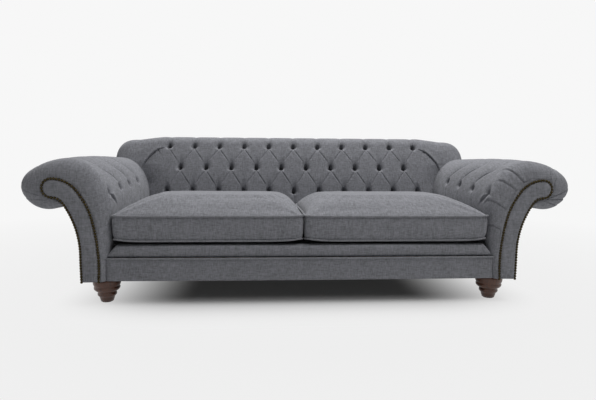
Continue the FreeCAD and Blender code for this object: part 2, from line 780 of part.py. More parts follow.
def cushion_outline(inset, corner, middle, half, z):
    """Plan outline of a cushion at one height: rounded corners and sides drawn in between them."""
    a, b = half[0] - inset, half[1] - inset
    corner = min(corner, 0.7 * b)
    nodes = [(a - corner, -b), (a, corner - b), (a, b - corner), (a - corner, b)]
    nodes += [(corner - a, b), (-a, b - corner), (-a, corner - b), (corner - a, -b)]
    path = tangent_path((corner - a, -b), DRAW_IN, nodes)
    points = [(x + middle[0], y + middle[1]) for x, y in path_points(path)[:-1]]
    spans = arc_spans(0, 7) + [(14, 15, 0)]
    return closed_wire(points, spans, floor_plane(z))


def cushion_form(shrink):
    """Right cushion's crowned form, or the same form smaller all round."""
    middle = ((CUSHION_INNER + CUSHION_OUTER) / 2, (CUSHION_FRONT + CUSHION_REAR) / 2)
    half = (middle[0] - CUSHION_INNER - BOXING_BULGE, middle[1] - CUSHION_FRONT - BOXING_BULGE)
    low, high = SEAM_LOW + shrink, SEAM_HIGH - shrink
    layers = []
    for seam, rise, reach in ((low, -CUSHION_BELLY, BELLY_REACH), (high, CUSHION_CROWN, CROWN_REACH)):
        rounds = []
        for step in (0.0, 0.25, 0.5, 0.75, 1.0):
            height = seam + rise * math.sin(math.pi / 2 * step)
            corner = CUSHION_CORNER + CROWN_ROUNDING * step
            rounds.append(cushion_outline(shrink + reach * step, corner, middle, half, height))
        layers.append(Part.makeLoft(rounds, True, False))
    boxing = []
    for height, bulge in ((low, 0.0), ((low + high) / 2, BOXING_BULGE), (high, 0.0)):
        boxing.append(cushion_outline(shrink - bulge, CUSHION_CORNER, middle, half, height))
    layers.append(Part.makeLoft(boxing, True, False))
    return layers[0].multiFuse(layers[1:])


def cushion_cover():
    """Cover and wadding of the right cushion, closed round its core."""
    return cushion_form(0.0).cut(cushion_form(COVER_THICK))


def cushion_core():
    """Foam core of the right cushion."""
    return cushion_form(COVER_THICK + GAP)


def cushion_piping():
    """Piping in the upper and lower seam of the right cushion."""
    middle = ((CUSHION_INNER + CUSHION_OUTER) / 2, (CUSHION_FRONT + CUSHION_REAR) / 2)
    room = BOXING_BULGE + PIPING_RADIUS
    half = (middle[0] - CUSHION_INNER - room, middle[1] - CUSHION_FRONT - room)
    loops = []
    for height in (SEAM_LOW, SEAM_HIGH):
        path = cushion_outline(0.0, CUSHION_CORNER - PIPING_RADIUS, middle, half, height)
        first = path.Edges[0]
        loops.append(tube(path, first.valueAt(first.FirstParameter), first.tangentAt(first.FirstParameter)))
    return Part.makeCompound(loops)


# Frame below the seat

def rail_across(depth):
    """Seat rail at the front or rear, between the side rails."""
    return block((-SIDE_RAIL[0], SIDE_RAIL[0]), depth, (BASE_Z, RAIL_TOP))


def side_rail():
    """Right side rail."""
    return block(SIDE_RAIL, (BOARD_BACK, REAR_BOARD), (BASE_Z, SIDE_RAIL_TOP))


def cross_braces():
    """Two braces from the front to the rear rail."""
    half = RAIL_THICK / 2
    depth = (FRONT_RAIL[1], REAR_RAIL[0])
    height = (BASE_Z, BASE_Z + BRACE_HEIGHT)
    braces = [block((x - half, x + half), depth, height) for x in BRACES_X]
    return Part.makeCompound(braces)


def foot_places():
    """Plan places of the four feet by name."""
    places = {}
    for depth, y in (("front", FRONT_FOOT_Y), ("rear", REAR_FOOT_Y)):
        for side, sign in (("left", -1), ("right", 1)):
            places[f"{depth}_{side}"] = (sign * FOOT_X, y)
    return places


def corner_block(place):
    """Triangular block in a corner of the seat frame, bored for the foot's bolt and tee nut."""
    x_sign = math.copysign(1.0, place[0])
    front = place[1] < 0
    corner_x = x_sign * SIDE_RAIL[0]
    corner_y = FRONT_RAIL[1] if front else REAR_RAIL[0]
    inward = BLOCK_LEG if front else -BLOCK_LEG
    points = [(corner_x, corner_y), (corner_x - x_sign * BLOCK_LEG, corner_y), (corner_x, corner_y + inward)]
    solid = slab(points, [(0, 1), (1, 2), (2, 0)], floor_plane(BASE_Z), V(0, 0, BLOCK_TOP - BASE_Z))
    bore = upright_cylinder(BOLT_RADIUS + BORE_ROOM, place, BASE_Z, BLOCK_TOP)
    seat = upright_cylinder(TEE_BARREL + BORE_ROOM, place, BLOCK_TOP - TEE_DEPTH, BLOCK_TOP)
    return solid.cut([bore, seat])


def tee_nut(place):
    """Tee nut on a corner block."""
    barrel = upright_cylinder(TEE_BARREL, place, BLOCK_TOP - TEE_DEPTH, BLOCK_TOP)
    flange = upright_cylinder(TEE_RADIUS, place, BLOCK_TOP, BLOCK_TOP + TEE_FLANGE)
    bore = upright_cylinder(BOLT_RADIUS + BORE_ROOM / 2, place, BLOCK_TOP - TEE_DEPTH, BLOCK_TOP + TEE_FLANGE)
    return joined([barrel, flange]).cut(bore)


def foot_bolt(place):
    """Hanger bolt of a foot."""
    return upright_cylinder(BOLT_RADIUS, place, BOLT_BOTTOM, BLOCK_TOP + TEE_FLANGE)


def turned_foot(place):
    """Turned bun foot with a groove, a neck ring and a small base."""
    bun = [(54, FOOT_HEIGHT), (60, 90), (56, 74), (53, 71.5), (56, 69), (52, 56), (37, 47)]
    ring = [(38.5, 44), (41.5, 36), (36, 27)]
    base = [(33, 23), (27, GLIDE_HEIGHT)]
    outline = [(0, FOOT_HEIGHT)] + bun + ring + base + [(0, GLIDE_HEIGHT)]
    spans = [(0, 1)] + arc_spans(1, 3) + [(7, 8), (8, 9, 10), (10, 11), (11, 12), (12, 13), (13, 0)]
    half_section = Part.Face(closed_wire(outline, spans, arm_plane(0.0)))
    foot = half_section.revolve(V(0, 0, 0), V(0, 0, 1), 360)
    foot.translate(V(place[0], place[1], 0))
    return foot.cut(upright_cylinder(BOLT_RADIUS + BORE_ROOM, place, BOLT_BOTTOM, FOOT_HEIGHT))


def foot_glide(place):
    """Flat glide under a foot."""
    return upright_cylinder(GLIDE_RADIUS, place, 0.0, GLIDE_HEIGHT)


def dust_cover():
    """Cloth closing the underside of the frame, pierced for the foot bolts."""
    across = (DUST_EDGE - SIDE_RAIL[0], SIDE_RAIL[0] - DUST_EDGE)
    depth = (FRONT_RAIL[0] + DUST_EDGE, REAR_RAIL[1] - DUST_EDGE)
    sheet = block(across, depth, (FOOT_HEIGHT, BASE_Z))
    places = foot_places().values()
    return sheet.cut([upright_cylinder(BOLT_RADIUS + BORE_ROOM, place, 0.0, BASE_Z) for place in places])


# Assembly

def sided_nodes():
    """Pieces made once for the right side and mirrored for the left."""
    return {
        "side_rail": side_rail(),
        "arm_front_board": crook(-BOARD_INSET, BOARD_FRONT, BOARD_THICK),
        "arm_rear_board": crook(-BOARD_INSET, REAR_BOARD, BOARD_THICK),
        "arm_top_rail": arm_top_rail(),
        "arm_liner_rail": arm_liner_rail(),
        "arm_webbing": arm_webbing(),
        "arm_pad": arm_pad(),
        "arm_buttons": arm_buttons(),
        "arm_outside_panel": arm_outside(),
        "arm_facing": crook(FACING_EDGE, FACING_FRONT, FACING_THICK),
        "arm_nail_trim": nail_trim(),
        "cushion_cover": cushion_cover(),
        "cushion_core": cushion_core(),
        "cushion_piping": cushion_piping(),
    }


def all_nodes():
    """Every node of the sofa by name."""
    places = foot_places()
    nodes = {
        "front_seat_rail": rail_across(FRONT_RAIL),
        "rear_seat_rail": rail_across(REAR_RAIL),
        "seat_cross_braces": cross_braces(),
        "corner_blocks": Part.makeCompound([corner_block(place) for place in places.values()]),
        "back_uprights": back_uprights(),
        "back_top_rail": back_top_rail(),
        "back_lower_rails": back_lower_rails(),
        "back_webbing": back_webbing(),
        "back_pad": back_pad(),
        "back_buttons": back_buttons(),
        "back_outside_panel": back_outside(),
        "seat_webbing": seat_webbing(),
        "seat_deck_pad": deck_pad(),
        "front_edge_roll": front_edge_roll(),
        "front_border": front_border(),
        "front_border_piping": front_piping(),
        "dust_cover": dust_cover(),
        "foot_bolts": Part.makeCompound([foot_bolt(place) for place in places.values()]),
        "foot_tee_nuts": Part.makeCompound([tee_nut(place) for place in places.values()]),
    }
    for name, place in places.items():
        nodes[f"{name}_foot"] = turned_foot(place)
        nodes[f"{name}_glide"] = foot_glide(place)
    for name, shape in sided_nodes().items():
        nodes[f"right_{name}"] = shape
        nodes[f"left_{name}"] = mirrored(shape)
    return nodes


def main():
    os.makedirs("parts", exist_ok=True)
    for name, shape in all_nodes().items():
        shape.exportStep(f"parts/{name}.step")
        box = shape.optimalBoundingBox()
        print(f"{name}: {len(shape.Solids)} solid(s), valid {shape.isValid()}, {len(shape.Faces)} faces, "
              f"{shape.Volume / 1e6:.3f} litres, x {box.XMin:.1f}..{box.XMax:.1f}, "
              f"y {box.YMin:.1f}..{box.YMax:.1f}, z {box.ZMin:.1f}..{box.ZMax:.1f}")


main()
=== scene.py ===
import json
import math

import bmesh
import bpy
import numpy as np
from mathutils import Matrix, Vector


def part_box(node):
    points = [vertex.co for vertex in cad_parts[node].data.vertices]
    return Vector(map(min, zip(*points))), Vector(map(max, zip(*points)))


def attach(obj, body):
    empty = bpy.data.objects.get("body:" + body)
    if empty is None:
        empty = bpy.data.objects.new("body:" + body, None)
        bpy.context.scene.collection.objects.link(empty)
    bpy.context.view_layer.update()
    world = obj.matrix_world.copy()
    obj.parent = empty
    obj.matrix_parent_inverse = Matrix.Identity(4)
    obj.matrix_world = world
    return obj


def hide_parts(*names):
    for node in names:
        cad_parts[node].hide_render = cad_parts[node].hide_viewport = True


# Chesterfield sofa in metres: X to the right as seen from the front, Y to the back, Z up from the floor

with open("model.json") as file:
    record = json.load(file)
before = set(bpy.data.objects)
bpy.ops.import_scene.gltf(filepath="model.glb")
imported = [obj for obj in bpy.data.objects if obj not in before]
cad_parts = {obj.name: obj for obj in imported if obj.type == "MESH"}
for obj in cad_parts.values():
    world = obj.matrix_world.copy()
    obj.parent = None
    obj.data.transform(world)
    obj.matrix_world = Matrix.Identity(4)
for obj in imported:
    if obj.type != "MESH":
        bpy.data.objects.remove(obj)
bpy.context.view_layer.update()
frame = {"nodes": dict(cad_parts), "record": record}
nodes = frame["nodes"]

SOFA = "sofa_body"
SIDES = {"left": -1.0, "right": 1.0}

# Frame places that the soft pieces share
BASE = 0.108
GAP = 0.001
FACING_FRONT = -0.487
FACING_EDGE = 0.005
BOARD_FRONT = -0.472
ARM_REAR = 0.425
NOSE_DEPTH = 0.062
END_ROUNDNESS = 0.985
PANEL_THICK = 0.007
PAD_ARCS = 6

# Arms: roll, crook and the crest that dips to the front
ROLL_CENTRE = (1.117, 0.524)
ROLL_RADIUS = 0.108
CROOK_CENTRE = (1.078, 0.515)
CROOK_RADIUS = 0.040
CREST_DIP = 0.021
DIP_BETWEEN = (0.460, 0.620)

# Back: roll, half length and shoulders
BACK_ROLL_CENTRE = (0.398, 0.697)
BACK_ROLL_RADIUS = 0.092
BACK_HALF = 1.066
SHOULDER_RADIUS = 0.124
ROOM_IN_ARMS = ((0.40, 0.56), (0.92, BACK_HALF))

# Deep buttoning: depths of creases go from end to end, reaches are on the left and the right of a line
BUTTON_RADIUS = 0.011
BUTTON_HEIGHT = 0.007
BACK_PITCH = 0.1495
BACK_COLUMNS = 11
BACK_ROWS = (0.42, 0.70, 0.97)
BACK_PIT = 0.050
ARM_BUTTONS_Y = (-0.412, -0.248, -0.092, 0.070)
ARM_ROW = (0.435, 0.626)
ARM_LOW_ROW = 0.74
ARM_PIT = 0.026
LIP_WIDTH = 0.006

# Pits: half width, reach above and below the button, hang of the cloth over it, and flat share of the floor
BACK_PIT_SHAPE = (0.0130, 0.032, 0.0120, 0.028, 0.6)
ARM_PIT_SHAPE = (0.014, 0.024, 0.015, 0.014, 0.3)
FIRST_PIT_SHAPE = (0.013, 0.024, 0.013, 0.022, 0.6)

# Pleat of an arm from its button over the roll, along Y and along the skin, with a sharp and a broad fall
ARM_PLEAT = ((-0.002, 0.024), (-0.020, 0.052), (-0.055, 0.084),
             (-0.100, 0.120), (-0.130, 0.200), (-0.140, 0.300))
PLEAT_SHARP = (0.002, 0.013, 0.016, 0.009, 0.003, 0.001)
PLEAT_BROAD = (0.004, 0.006, 0.008, 0.009, 0.006, 0.002)

# Creases that meet at the foremost arm button: way from it, depths, reach and lip
FIRST_CREASES = (
    ((0.044, -0.046), (0.022, 0.004), (0.004, 0.010), 0.3),
    ((-0.010, 0.046), (0.020, 0.001), (0.006, 0.010), 0.25),
    ((-0.034, -0.010), (0.014, 0.001), (0.006, 0.008), 0.2),
)

# Gathers round an arm's front, as lengths along the skin; the left arm's are shallower
NOSE_PLEATS = (0.256, 0.365, 0.480, 0.545, 0.739, 0.790, 0.918, 0.974, 1.022)
NOSE_PLEAT_LENGTHS = (0.055, 0.090)
NOSE_PLEAT_BEND = 0.45
PLEAT_DEPTHS = {-1.0: 0.0015, 1.0: 0.0050}

# Shoulder: its fold starts beside the outermost button and goes on along X and below the top row
FOLD_START = (0.028, 0.010)
FOLD_LINE = ((0.806, 0.020), (0.832, 0.038), (0.858, 0.068), (0.878, 0.096), (0.896, 0.136))
FOLD_EDGE = (0.003, 0.015, 0.022, 0.026)
FOLD_BROAD = (0.001, 0.006, 0.010, 0.014)
SHOULDER_RIDGE = ((0.800, 0.150), (0.940, 0.120))
SHOULDER_SLOPE = 0.020
CORNER_DEPTH = 0.045
GATHERS = ((0.812, 0.024, 0.022), (0.846, 0.056, 0.034))

# Facings with their nails, and panels: rings of padding as inset and height
FACING_PADDING = ((-0.005, -0.015), (-0.005, -0.002), (-0.003, 0.0), (0.005, 0.0), (0.009, 0.0028),
                  (0.014, 0.0046), (0.022, 0.0056))
ARM_END_PADDING = ((0.0, 0.0), (0.0, 0.005), (0.003, 0.008), (0.012, 0.0095), (0.026, 0.010))
BACK_END_PADDING = ((0.0, -0.010), (0.0, 0.0), (0.004, 0.003), (0.014, 0.005))
OUTSIDE_PUFF = 0.003
NAIL_PITCH = 0.0118
NAIL_RADIUS = 0.52 * NAIL_PITCH
NAIL_HEIGHT = 0.0050
NAIL_SEAT = 0.0005

# Bars: half length, middle and half sizes of the section along Y and Z, and its squareness
REAR_BAR = (0.945, (ARM_REAR + 0.004, 0.3665), (0.0055, 0.2585), 24)
BORDER_BAR = (0.863, (-0.4625, 0.1565), (0.0125, 0.0485), 14)
LIP_BAR = (0.868, (-0.447, 0.2375), (0.023, 0.0285), 3.2)
DECK_SQUARENESS = 9
BORDER_BOW = 0.008
LIP_BEVEL = 0.048
BORDER_SEAM = (-0.475, 0.207)
BORDER_SEAM_HALF = 0.868

# Cushions: the right one, between its seams, crown above and belly below
PIPING_RADIUS = 0.0045
PIPING_INSET = 0.7 * PIPING_RADIUS
CUSHION_X = (0.0025, 0.8415)
CUSHION_Y = (-0.473, 0.138)
SEAM_LOW = 0.283
SEAM_HIGH = 0.391
CUSHION_CROWN = 0.086
CROWN_SHARPNESS = 0.85
CROWN_REACH = 0.135
CROWN_ROUNDING = 0.15
INNER_FULLNESS = 0.068
CUSHION_BELLY = 0.015
BELLY_REACH = 0.200
BELLY_ROUNDING = 0.12
CUSHION_CORNER = 0.014
LOW_CORNER = 0.034
SIDE_TURN_DEGREES = 1.2
SEAM_INSET = 0.0045
BOXING_INSET = 0.0005
LOW_EAR = 0.014
HIGH_EAR = 0.004
EAR_SHARPNESS = 9

# Cloth simulation of a cushion: it starts a little flat and swells
START_SWELL = 0.93
CLOTH_NET = 0.007
CLOTH_PRESSURE = 3.0
CLOTH_FRAMES = 20
MOST_MOVED = 0.008
SIDE_ROOM = 0.004

# Studio: half sizes of the full shade on the floor, the width over which it fades, and the floor's colours,
# of which the plain floor near the sofa is greyer than the background as painted shade
SHADE_CORE = (0.50, 0.33, 0.0)
SHADE_FADE = (0.65, 0.45, 1.0)
PLAIN_IN_SHADE = 0.02
FLOOR_HALF = 60.0
FLOOR_FADE = (1.0, 4.0)
FLOOR_PAINT = "#e4e4e4"
# Greyer plain floor seen near the sofa: painted shade that fades into the background farther off
NEAR_FLOOR_PAINTED_SHADE = "#eeeeee"
BACKGROUND = "#f7f7f7"
WORLD_LIGHT = 0.06

# Camera: turns in radians, place, and the lens in pixels of the picture
CAMERA_TURNS = (0.0566, 0.0768, 0.0059)
CAMERA_PLACE = (-0.1828, -2.4194, 0.6151)
PICTURE_WIDTH = 596
FOCAL_PIXELS = 444.7
SHIFT_PIXELS = 9.86
SENSOR_WIDTH = 36.0

# Steps of the fine meshes
FINE = 0.003
PANEL_STEP = 0.012
COARSE = 0.030


# Paths of tangent arcs in a plane

def polar(centre, radius, degrees):
    """Point of a circle."""
    angle = math.radians(degrees)
    return (centre[0] + radius * math.cos(angle), centre[1] + radius * math.sin(angle))


def tangent_path(start, degrees, points):
    """Chain of arcs through the points; each leaves in the direction in which the last one arrived."""
    path = [(start, math.radians(degrees))]
    for point in points:
        here, heading = path[-1]
        chord = math.atan2(point[1] - here[1], point[0] - here[0])
        half_turn = math.remainder(chord - heading, 2 * math.pi)
        path.append((point, heading + 2 * half_turn))
    return path


def arc_length(path, arc):
    """Length of one arc of a path."""
    (start, heading), (end, arrival) = path[arc], path[arc + 1]
    half_turn = (arrival - heading) / 2
    chord = math.dist(start, end)
    return chord if abs(half_turn) < 1e-6 else chord * half_turn / math.sin(half_turn)


def point_on(path, arc, fraction, offset=0.0):
    """Point at a fraction of one arc, moved to the left of its direction by the offset."""
    (start, heading), (end, arrival) = path[arc], path[arc + 1]
    turn = arrival - heading
    here = heading + turn * fraction
    if abs(turn) < 1e-6:
        across = start[0] + (end[0] - start[0]) * fraction
        along = start[1] + (end[1] - start[1]) * fraction
    else:
        radius = math.dist(start, end) / (2 * math.sin(turn / 2))
        across = start[0] + radius * (math.sin(here) - math.sin(heading))
        along = start[1] + radius * (math.cos(heading) - math.cos(here))
    return (across - offset * math.sin(here), along + offset * math.cos(here))


def stations(path, arcs, spacing):
    """Places (arc, fraction) evenly along some arcs of a path."""
    places = []
    for arc in arcs:
        count = max(2, round(arc_length(path, arc) / spacing))
        places += [(arc, i / count) for i in range(count)]
    return places + [(arcs[-1], 1.0)]


def line_along(path, places, offset=0.0):
    """Points at the places of a path, beside it by the offset."""
    return np.array([point_on(path, arc, fraction, offset) for arc, fraction in places])


def outward_along(path, places):
    """Directions that point away from a path's left side at the places."""
    return line_along(path, places, 1.0) - line_along(path, places)


def length_to(path, arc, fraction):
    """Length along a path from its start."""
    return sum(arc_length(path, i) for i in range(arc)) + arc_length(path, arc) * fraction


def lengths_along(path, places):
    """Lengths along a path of all places."""
    return np.array([length_to(path, arc, fraction) for arc, fraction in places])


def roll_points(centre, radius, angles):
    """Points of a roll at some angles."""
    return [polar(centre, radius, angle) for angle in angles]


ARM_SKIN = tangent_path(
    (0.858, BASE), 95.4,
    [(0.846, 0.420), (0.897, 0.588), (1.045, 0.659)]
    + roll_points(ROLL_CENTRE, ROLL_RADIUS, (50, -30, -128.3)),
)
NAIL_PATH = tangent_path(
    (0.892, BASE), 94.5,
    [(0.914, 0.377), (0.977, 0.506)] + roll_points(CROOK_CENTRE, CROOK_RADIUS, (90, 0, -90))
    + [(1.034, 0.4516), (0.966, 0.230), (0.964, BASE)],
)
BACK_SKIN = tangent_path(
    (0.165, 0.245), 86.0, roll_points(BACK_ROLL_CENTRE, BACK_ROLL_RADIUS, (150, 50, -30, -57)),
)
BACK_CORE = tangent_path(
    (0.245, 0.245), 86.8, [(0.330, 0.640), (0.400, 0.688), (0.436, 0.652), (0.436, 0.628)],
)


# Meshes

def ring_faces(rows, columns):
    """Faces between ring-shaped rows of points, and a cap on the first and the last ring."""
    index = np.arange(rows * columns).reshape(rows, columns)
    index = np.hstack([index, index[:, :1]])
    faces = np.stack([index[:-1, :-1], index[:-1, 1:], index[1:, 1:], index[1:, :-1]], axis=-1)
    caps = [index[0, :-1].tolist(), index[-1, :-1].tolist()]
    return faces.reshape(-1, 4).tolist() + caps


def mesh_of(name, forms):
    """Smooth mesh of one or more closed forms, each given by its ring-shaped sections."""
    mesh = bpy.data.meshes.new(name)
    points, faces = [], []
    for sections in forms:
        first = len(points)
        points += sections.reshape(-1, 3).tolist()
        faces += [[first + i for i in face] for face in ring_faces(*sections.shape[:2])]
    mesh.from_pydata(points, [], faces)
    work = bmesh.new()
    work.from_mesh(mesh)
    bmesh.ops.recalc_face_normals(work, faces=work.faces)
    work.to_mesh(mesh)
    work.free()
    mesh.shade_smooth()
    return mesh


def add_piece(name, mesh, material, stands_for, body=SOFA):
    """Puts a mesh into the scene as a piece that rides on a body and stands for CAD nodes."""
    piece = bpy.data.objects.new(name, mesh)
    bpy.context.scene.collection.objects.link(piece)
    mesh.materials.append(material)
    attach(piece, body)
    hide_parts(*stands_for)
    return piece


def tube_sections(line, radius, closed):
    """Round sections of a piping along a line of points."""
    if closed:
        ahead = np.roll(line, -1, axis=0) - np.roll(line, 1, axis=0)
    else:
        ahead = np.gradient(line, axis=0)
    ahead /= np.linalg.norm(ahead, axis=1, keepdims=True)
    side = np.cross(ahead, (0.0, 0.0, 1.0))
    side /= np.linalg.norm(side, axis=1, keepdims=True)
    up = np.cross(side, ahead)
    turn = np.radians(np.arange(0, 360, 30))
    ring = np.cos(turn)[:, None] * side[:, None] + np.sin(turn)[:, None] * up[:, None]
    sections = line[:, None] + radius * ring
    return np.concatenate([sections, sections[:1]]) if closed else sections


def dome_sections(place, outward, radius, height):
    """Sections of a dome with a flat back at a place."""
    outward = np.array(outward) / np.linalg.norm(outward)
    side = np.cross(outward, (0.3, 0.2, 0.9))
    side /= np.linalg.norm(side)
    up = np.cross(side, outward)
    turn = np.radians(np.arange(0, 360, 36))
    ring = np.cos(turn)[:, None] * side + np.sin(turn)[:, None] * up
    sections = []
    for angle in np.radians([0, 25, 50, 72, 86]):
        middle = np.array(place) + height * math.sin(angle) * outward
        sections.append(middle + radius * math.cos(angle) * ring)
    return np.array(sections)


# Buttoned covers

class Cover:
    """Buttoned cover laid flat: depths of creases and pits and heights of ridges on a grid of places."""

    def __init__(self, across, along):
        self.across, self.along = across, along
        self.depth = np.zeros((len(across), len(along)))
        self.ridge = np.zeros_like(self.depth)

    def near(self, places, margin):
        """The part of the grid round some places, and the grid's own places there."""
        low, high = np.min(places, axis=0) - margin, np.max(places, axis=0) + margin
        rows = slice(*np.searchsorted(self.across, (low[0], high[0])))
        columns = slice(*np.searchsorted(self.along, (low[1], high[1])))
        return (rows, columns), np.meshgrid(self.across[rows], self.along[columns], indexing="ij")

    def beside(self, line, margin):
        """Round a line: part of the grid, distance to the line, side of it and share of its length."""
        part, (x, h) = self.near(line, margin)
        nearest, side, share = np.full(x.shape, np.inf), np.ones(x.shape), np.zeros(x.shape)
        for i, ((x0, h0), (x1, h1)) in enumerate(zip(line, line[1:])):
            run = (x1 - x0, h1 - h0)
            along = np.clip(((x - x0) * run[0] + (h - h0) * run[1]) / (run[0] ** 2 + run[1] ** 2), 0.0, 1.0)
            away = np.hypot(x - x0 - along * run[0], h - h0 - along * run[1])
            closer = away < nearest
            nearest[closer] = away[closer]
            side[closer] = (run[0] * (h - h0) - run[1] * (x - x0))[closer]
            share[closer] = (i + along[closer]) / (len(line) - 1)
        return part, nearest, side, share

    def crease(self, line, depths, reach, lip=0.0):
        """Crease along a line, reaching to its left and right; its left edge may stand up as a lip."""
        part, nearest, side, share = self.beside(line, 8 * max(reach))
        depth = np.interp(share, np.linspace(0.0, 1.0, len(depths)), depths)
        width = np.where(side > 0, *reach)
        self.depth[part] = np.maximum(self.depth[part], depth * np.exp(-(nearest / width) ** 1.5))
        swell = nearest / LIP_WIDTH * np.exp(1.0 - nearest / LIP_WIDTH)
        self.ridge[part] = np.maximum(self.ridge[part], np.where(side > 0, lip * depth * swell, 0.0))

    def pit(self, button, depth, side, above, below, hang, floor):
        """Pit at a button: a hole with a floor, drawn out upwards, under cloth that hangs into it."""
        part, (x, h) = self.near([button], 5 * above)
        across, up = (x - button[0]) / side, h - button[1]
        away = np.hypot(across, up / np.where(up > 0, above, below))
        hole = np.clip((1.0 - away) / (1.0 - floor), 0.0, 1.0)
        fall = np.where(up > 0, 1.3 * above, below)
        soft = hang * np.exp(-(across / 1.3) ** 2 - (np.abs(up) / fall) ** 1.6)
        self.depth[part] = np.maximum(self.depth[part], soft + (depth - soft) * hole)

    def relief(self):
        """Heights of the cover over its plain skin."""
        return (self.ridge - self.depth)[..., None]


# Arms

def arm_row(y):
    """Length along the skin at which the upper button row runs; it rises to the back."""
    share = (y - ARM_BUTTONS_Y[0]) / (ARM_BUTTONS_Y[-1] - ARM_BUTTONS_Y[0])
    return length_to(ARM_SKIN, 1, ARM_ROW[0] + (ARM_ROW[1] - ARM_ROW[0]) * share)


def arm_button_rows():
    """Upper and lower button row of an arm, as places along Y and along the skin."""
    low_row = length_to(ARM_SKIN, 0, ARM_LOW_ROW)
    upper = [(y, arm_row(y)) for y in ARM_BUTTONS_Y]
    lower = [((a + b) / 2, low_row) for a, b in zip(ARM_BUTTONS_Y, ARM_BUTTONS_Y[1:])]
    return upper, lower


def arm_relief(depth, along):
    """Relief of an arm's buttoned cover: pleats that bend forward over the roll from every button."""
    cover = Cover(depth, along)
    upper, lower = arm_button_rows()
    first, others = np.array(upper[0]), upper[1:]
    for button in others + lower:
        cover.pit(button, ARM_PIT, *ARM_PIT_SHAPE)
    cover.pit(first, ARM_PIT, *FIRST_PIT_SHAPE)
    for button in others:
        line = np.array(button) + ARM_PLEAT
        cover.crease(line, PLEAT_SHARP, (0.0035, 0.010), 0.25)
        cover.crease(line, PLEAT_BROAD, (0.014, 0.026))
    for way, depths, reach, lip in FIRST_CREASES:
        cover.crease([first, first + way], depths, reach, lip)
    for line in zip(others, lower):
        cover.crease(line, (0.003, 0.004), (0.004, 0.006))
    return cover.relief()


def nose_relief(depth, along, deepest):
    """Relief of the pleats that gather an arm's cover round its front, every other one short."""
    cover = Cover(depth, along)
    step = np.linspace(0.0, 1.0, 7)
    for i, place in enumerate(NOSE_PLEATS):
        length = NOSE_PLEAT_LENGTHS[i % 2]
        line = np.column_stack([FACING_FRONT + length * step, place - NOSE_PLEAT_BEND * length * step ** 3])
        cover.crease(line, (deepest, deepest, 0.0), (0.0025, 0.007), 0.25)
    return cover.relief()


def arm_section_depths():
    """Places along Y of an arm's cross-sections, close together on the rounded front."""
    nose = FACING_FRONT + NOSE_DEPTH * (1 - np.cos(np.radians(np.arange(0, 90, 4.5))))
    straight = np.arange(FACING_FRONT + NOSE_DEPTH, ARM_REAR - FINE / 2, FINE)
    return np.concatenate([nose, straight, [ARM_REAR]])


def nose_depth(y):
    """How far forward on an arm's rounded front a place lies: 1 at the facing, 0 where the front ends."""
    return np.clip((FACING_FRONT + NOSE_DEPTH - y) / NOSE_DEPTH, 0.0, 1.0)


def crest_dip(y, height):
    """How far the arm's crest lies lower towards its front."""
    forward = np.maximum(0.0, y / FACING_FRONT)
    low, high = DIP_BETWEEN
    raised = np.clip((height - low) / (high - low), 0.0, 1.0)
    return CREST_DIP * forward ** 2 * raised ** 2 * (3.0 - 2.0 * raised)


def arm_sections(sign):
    """Ring-shaped sections of an arm pad along Y: buttoned skin, then the hollow side on the frame."""
    places = stations(ARM_SKIN, range(PAD_ARCS), FINE)
    hollow_places = stations(NAIL_PATH, range(PAD_ARCS), COARSE)[::-1]
    lengths, outward = lengths_along(ARM_SKIN, places), outward_along(ARM_SKIN, places)
    depth = arm_section_depths()
    fade = 1.0 - nose_depth(depth)[:, None, None]
    skin = line_along(ARM_SKIN, places) + fade * arm_relief(depth, lengths) * outward
    skin[..., 1] -= crest_dip(depth[:, None], skin[..., 1])
    facing = line_along(NAIL_PATH, places, FACING_EDGE + GAP)
    turned = END_ROUNDNESS * nose_depth(depth)[:, None, None]
    straight = np.sqrt(1.0 - turned ** 2)
    pleats = nose_relief(depth, lengths, PLEAT_DEPTHS[sign])
    cover = facing + (skin - facing) * straight + pleats * straight * outward
    hollow = line_along(NAIL_PATH, hollow_places, FACING_EDGE + GAP / 2)
    hollow = np.broadcast_to(hollow, (len(depth), *hollow.shape))
    ring = np.concatenate([cover, hollow], axis=1)
    depth = np.repeat(depth[:, None], ring.shape[1], axis=1)
    depth[:, :len(places)] -= (pleats * turned)[..., 0]
    return np.stack([sign * ring[..., 0], depth, ring[..., 1]], axis=-1)


def arm_button_forms(sign):
    """Domes of an arm's covered buttons on the floors of their pits."""
    forms = []
    upper, lower = arm_button_rows()
    for y, length in upper + lower:
        arc = 0 if length < arc_length(ARM_SKIN, 0) else 1
        fraction = (length - length_to(ARM_SKIN, arc, 0.0)) / arc_length(ARM_SKIN, arc)
        floor = np.array(point_on(ARM_SKIN, arc, fraction, -ARM_PIT))
        x, z = np.array(point_on(ARM_SKIN, arc, fraction)) - floor
        place = (sign * floor[0], y, floor[1])
        forms.append(dome_sections(place, (sign * x, 0.0, z), BUTTON_RADIUS, BUTTON_HEIGHT))
    return forms


def facing_form(sign):
    """Rings of a facing: flat crook-shaped panel with a softly padded front."""
    places = stations(NAIL_PATH, range(len(NAIL_PATH) - 1), PANEL_STEP / 2)
    rings = []
    for inset, proud in FACING_PADDING:
        line = line_along(NAIL_PATH, places, -inset)
        depth = np.full(len(line), FACING_FRONT - proud)
        rings.append(np.stack([sign * line[:, 0], depth, line[:, 1]], axis=-1))
    return np.array(rings)


def nail_forms(sign):
    """Domes of the close nails round a facing."""
    places = stations(NAIL_PATH, range(len(NAIL_PATH) - 1), NAIL_PITCH)
    forms = []
    for x, z in line_along(NAIL_PATH, places):
        place = (sign * x, FACING_FRONT + NAIL_SEAT, z)
        forms.append(dome_sections(place, (0, -1, 0), NAIL_RADIUS, NAIL_HEIGHT))
    return forms


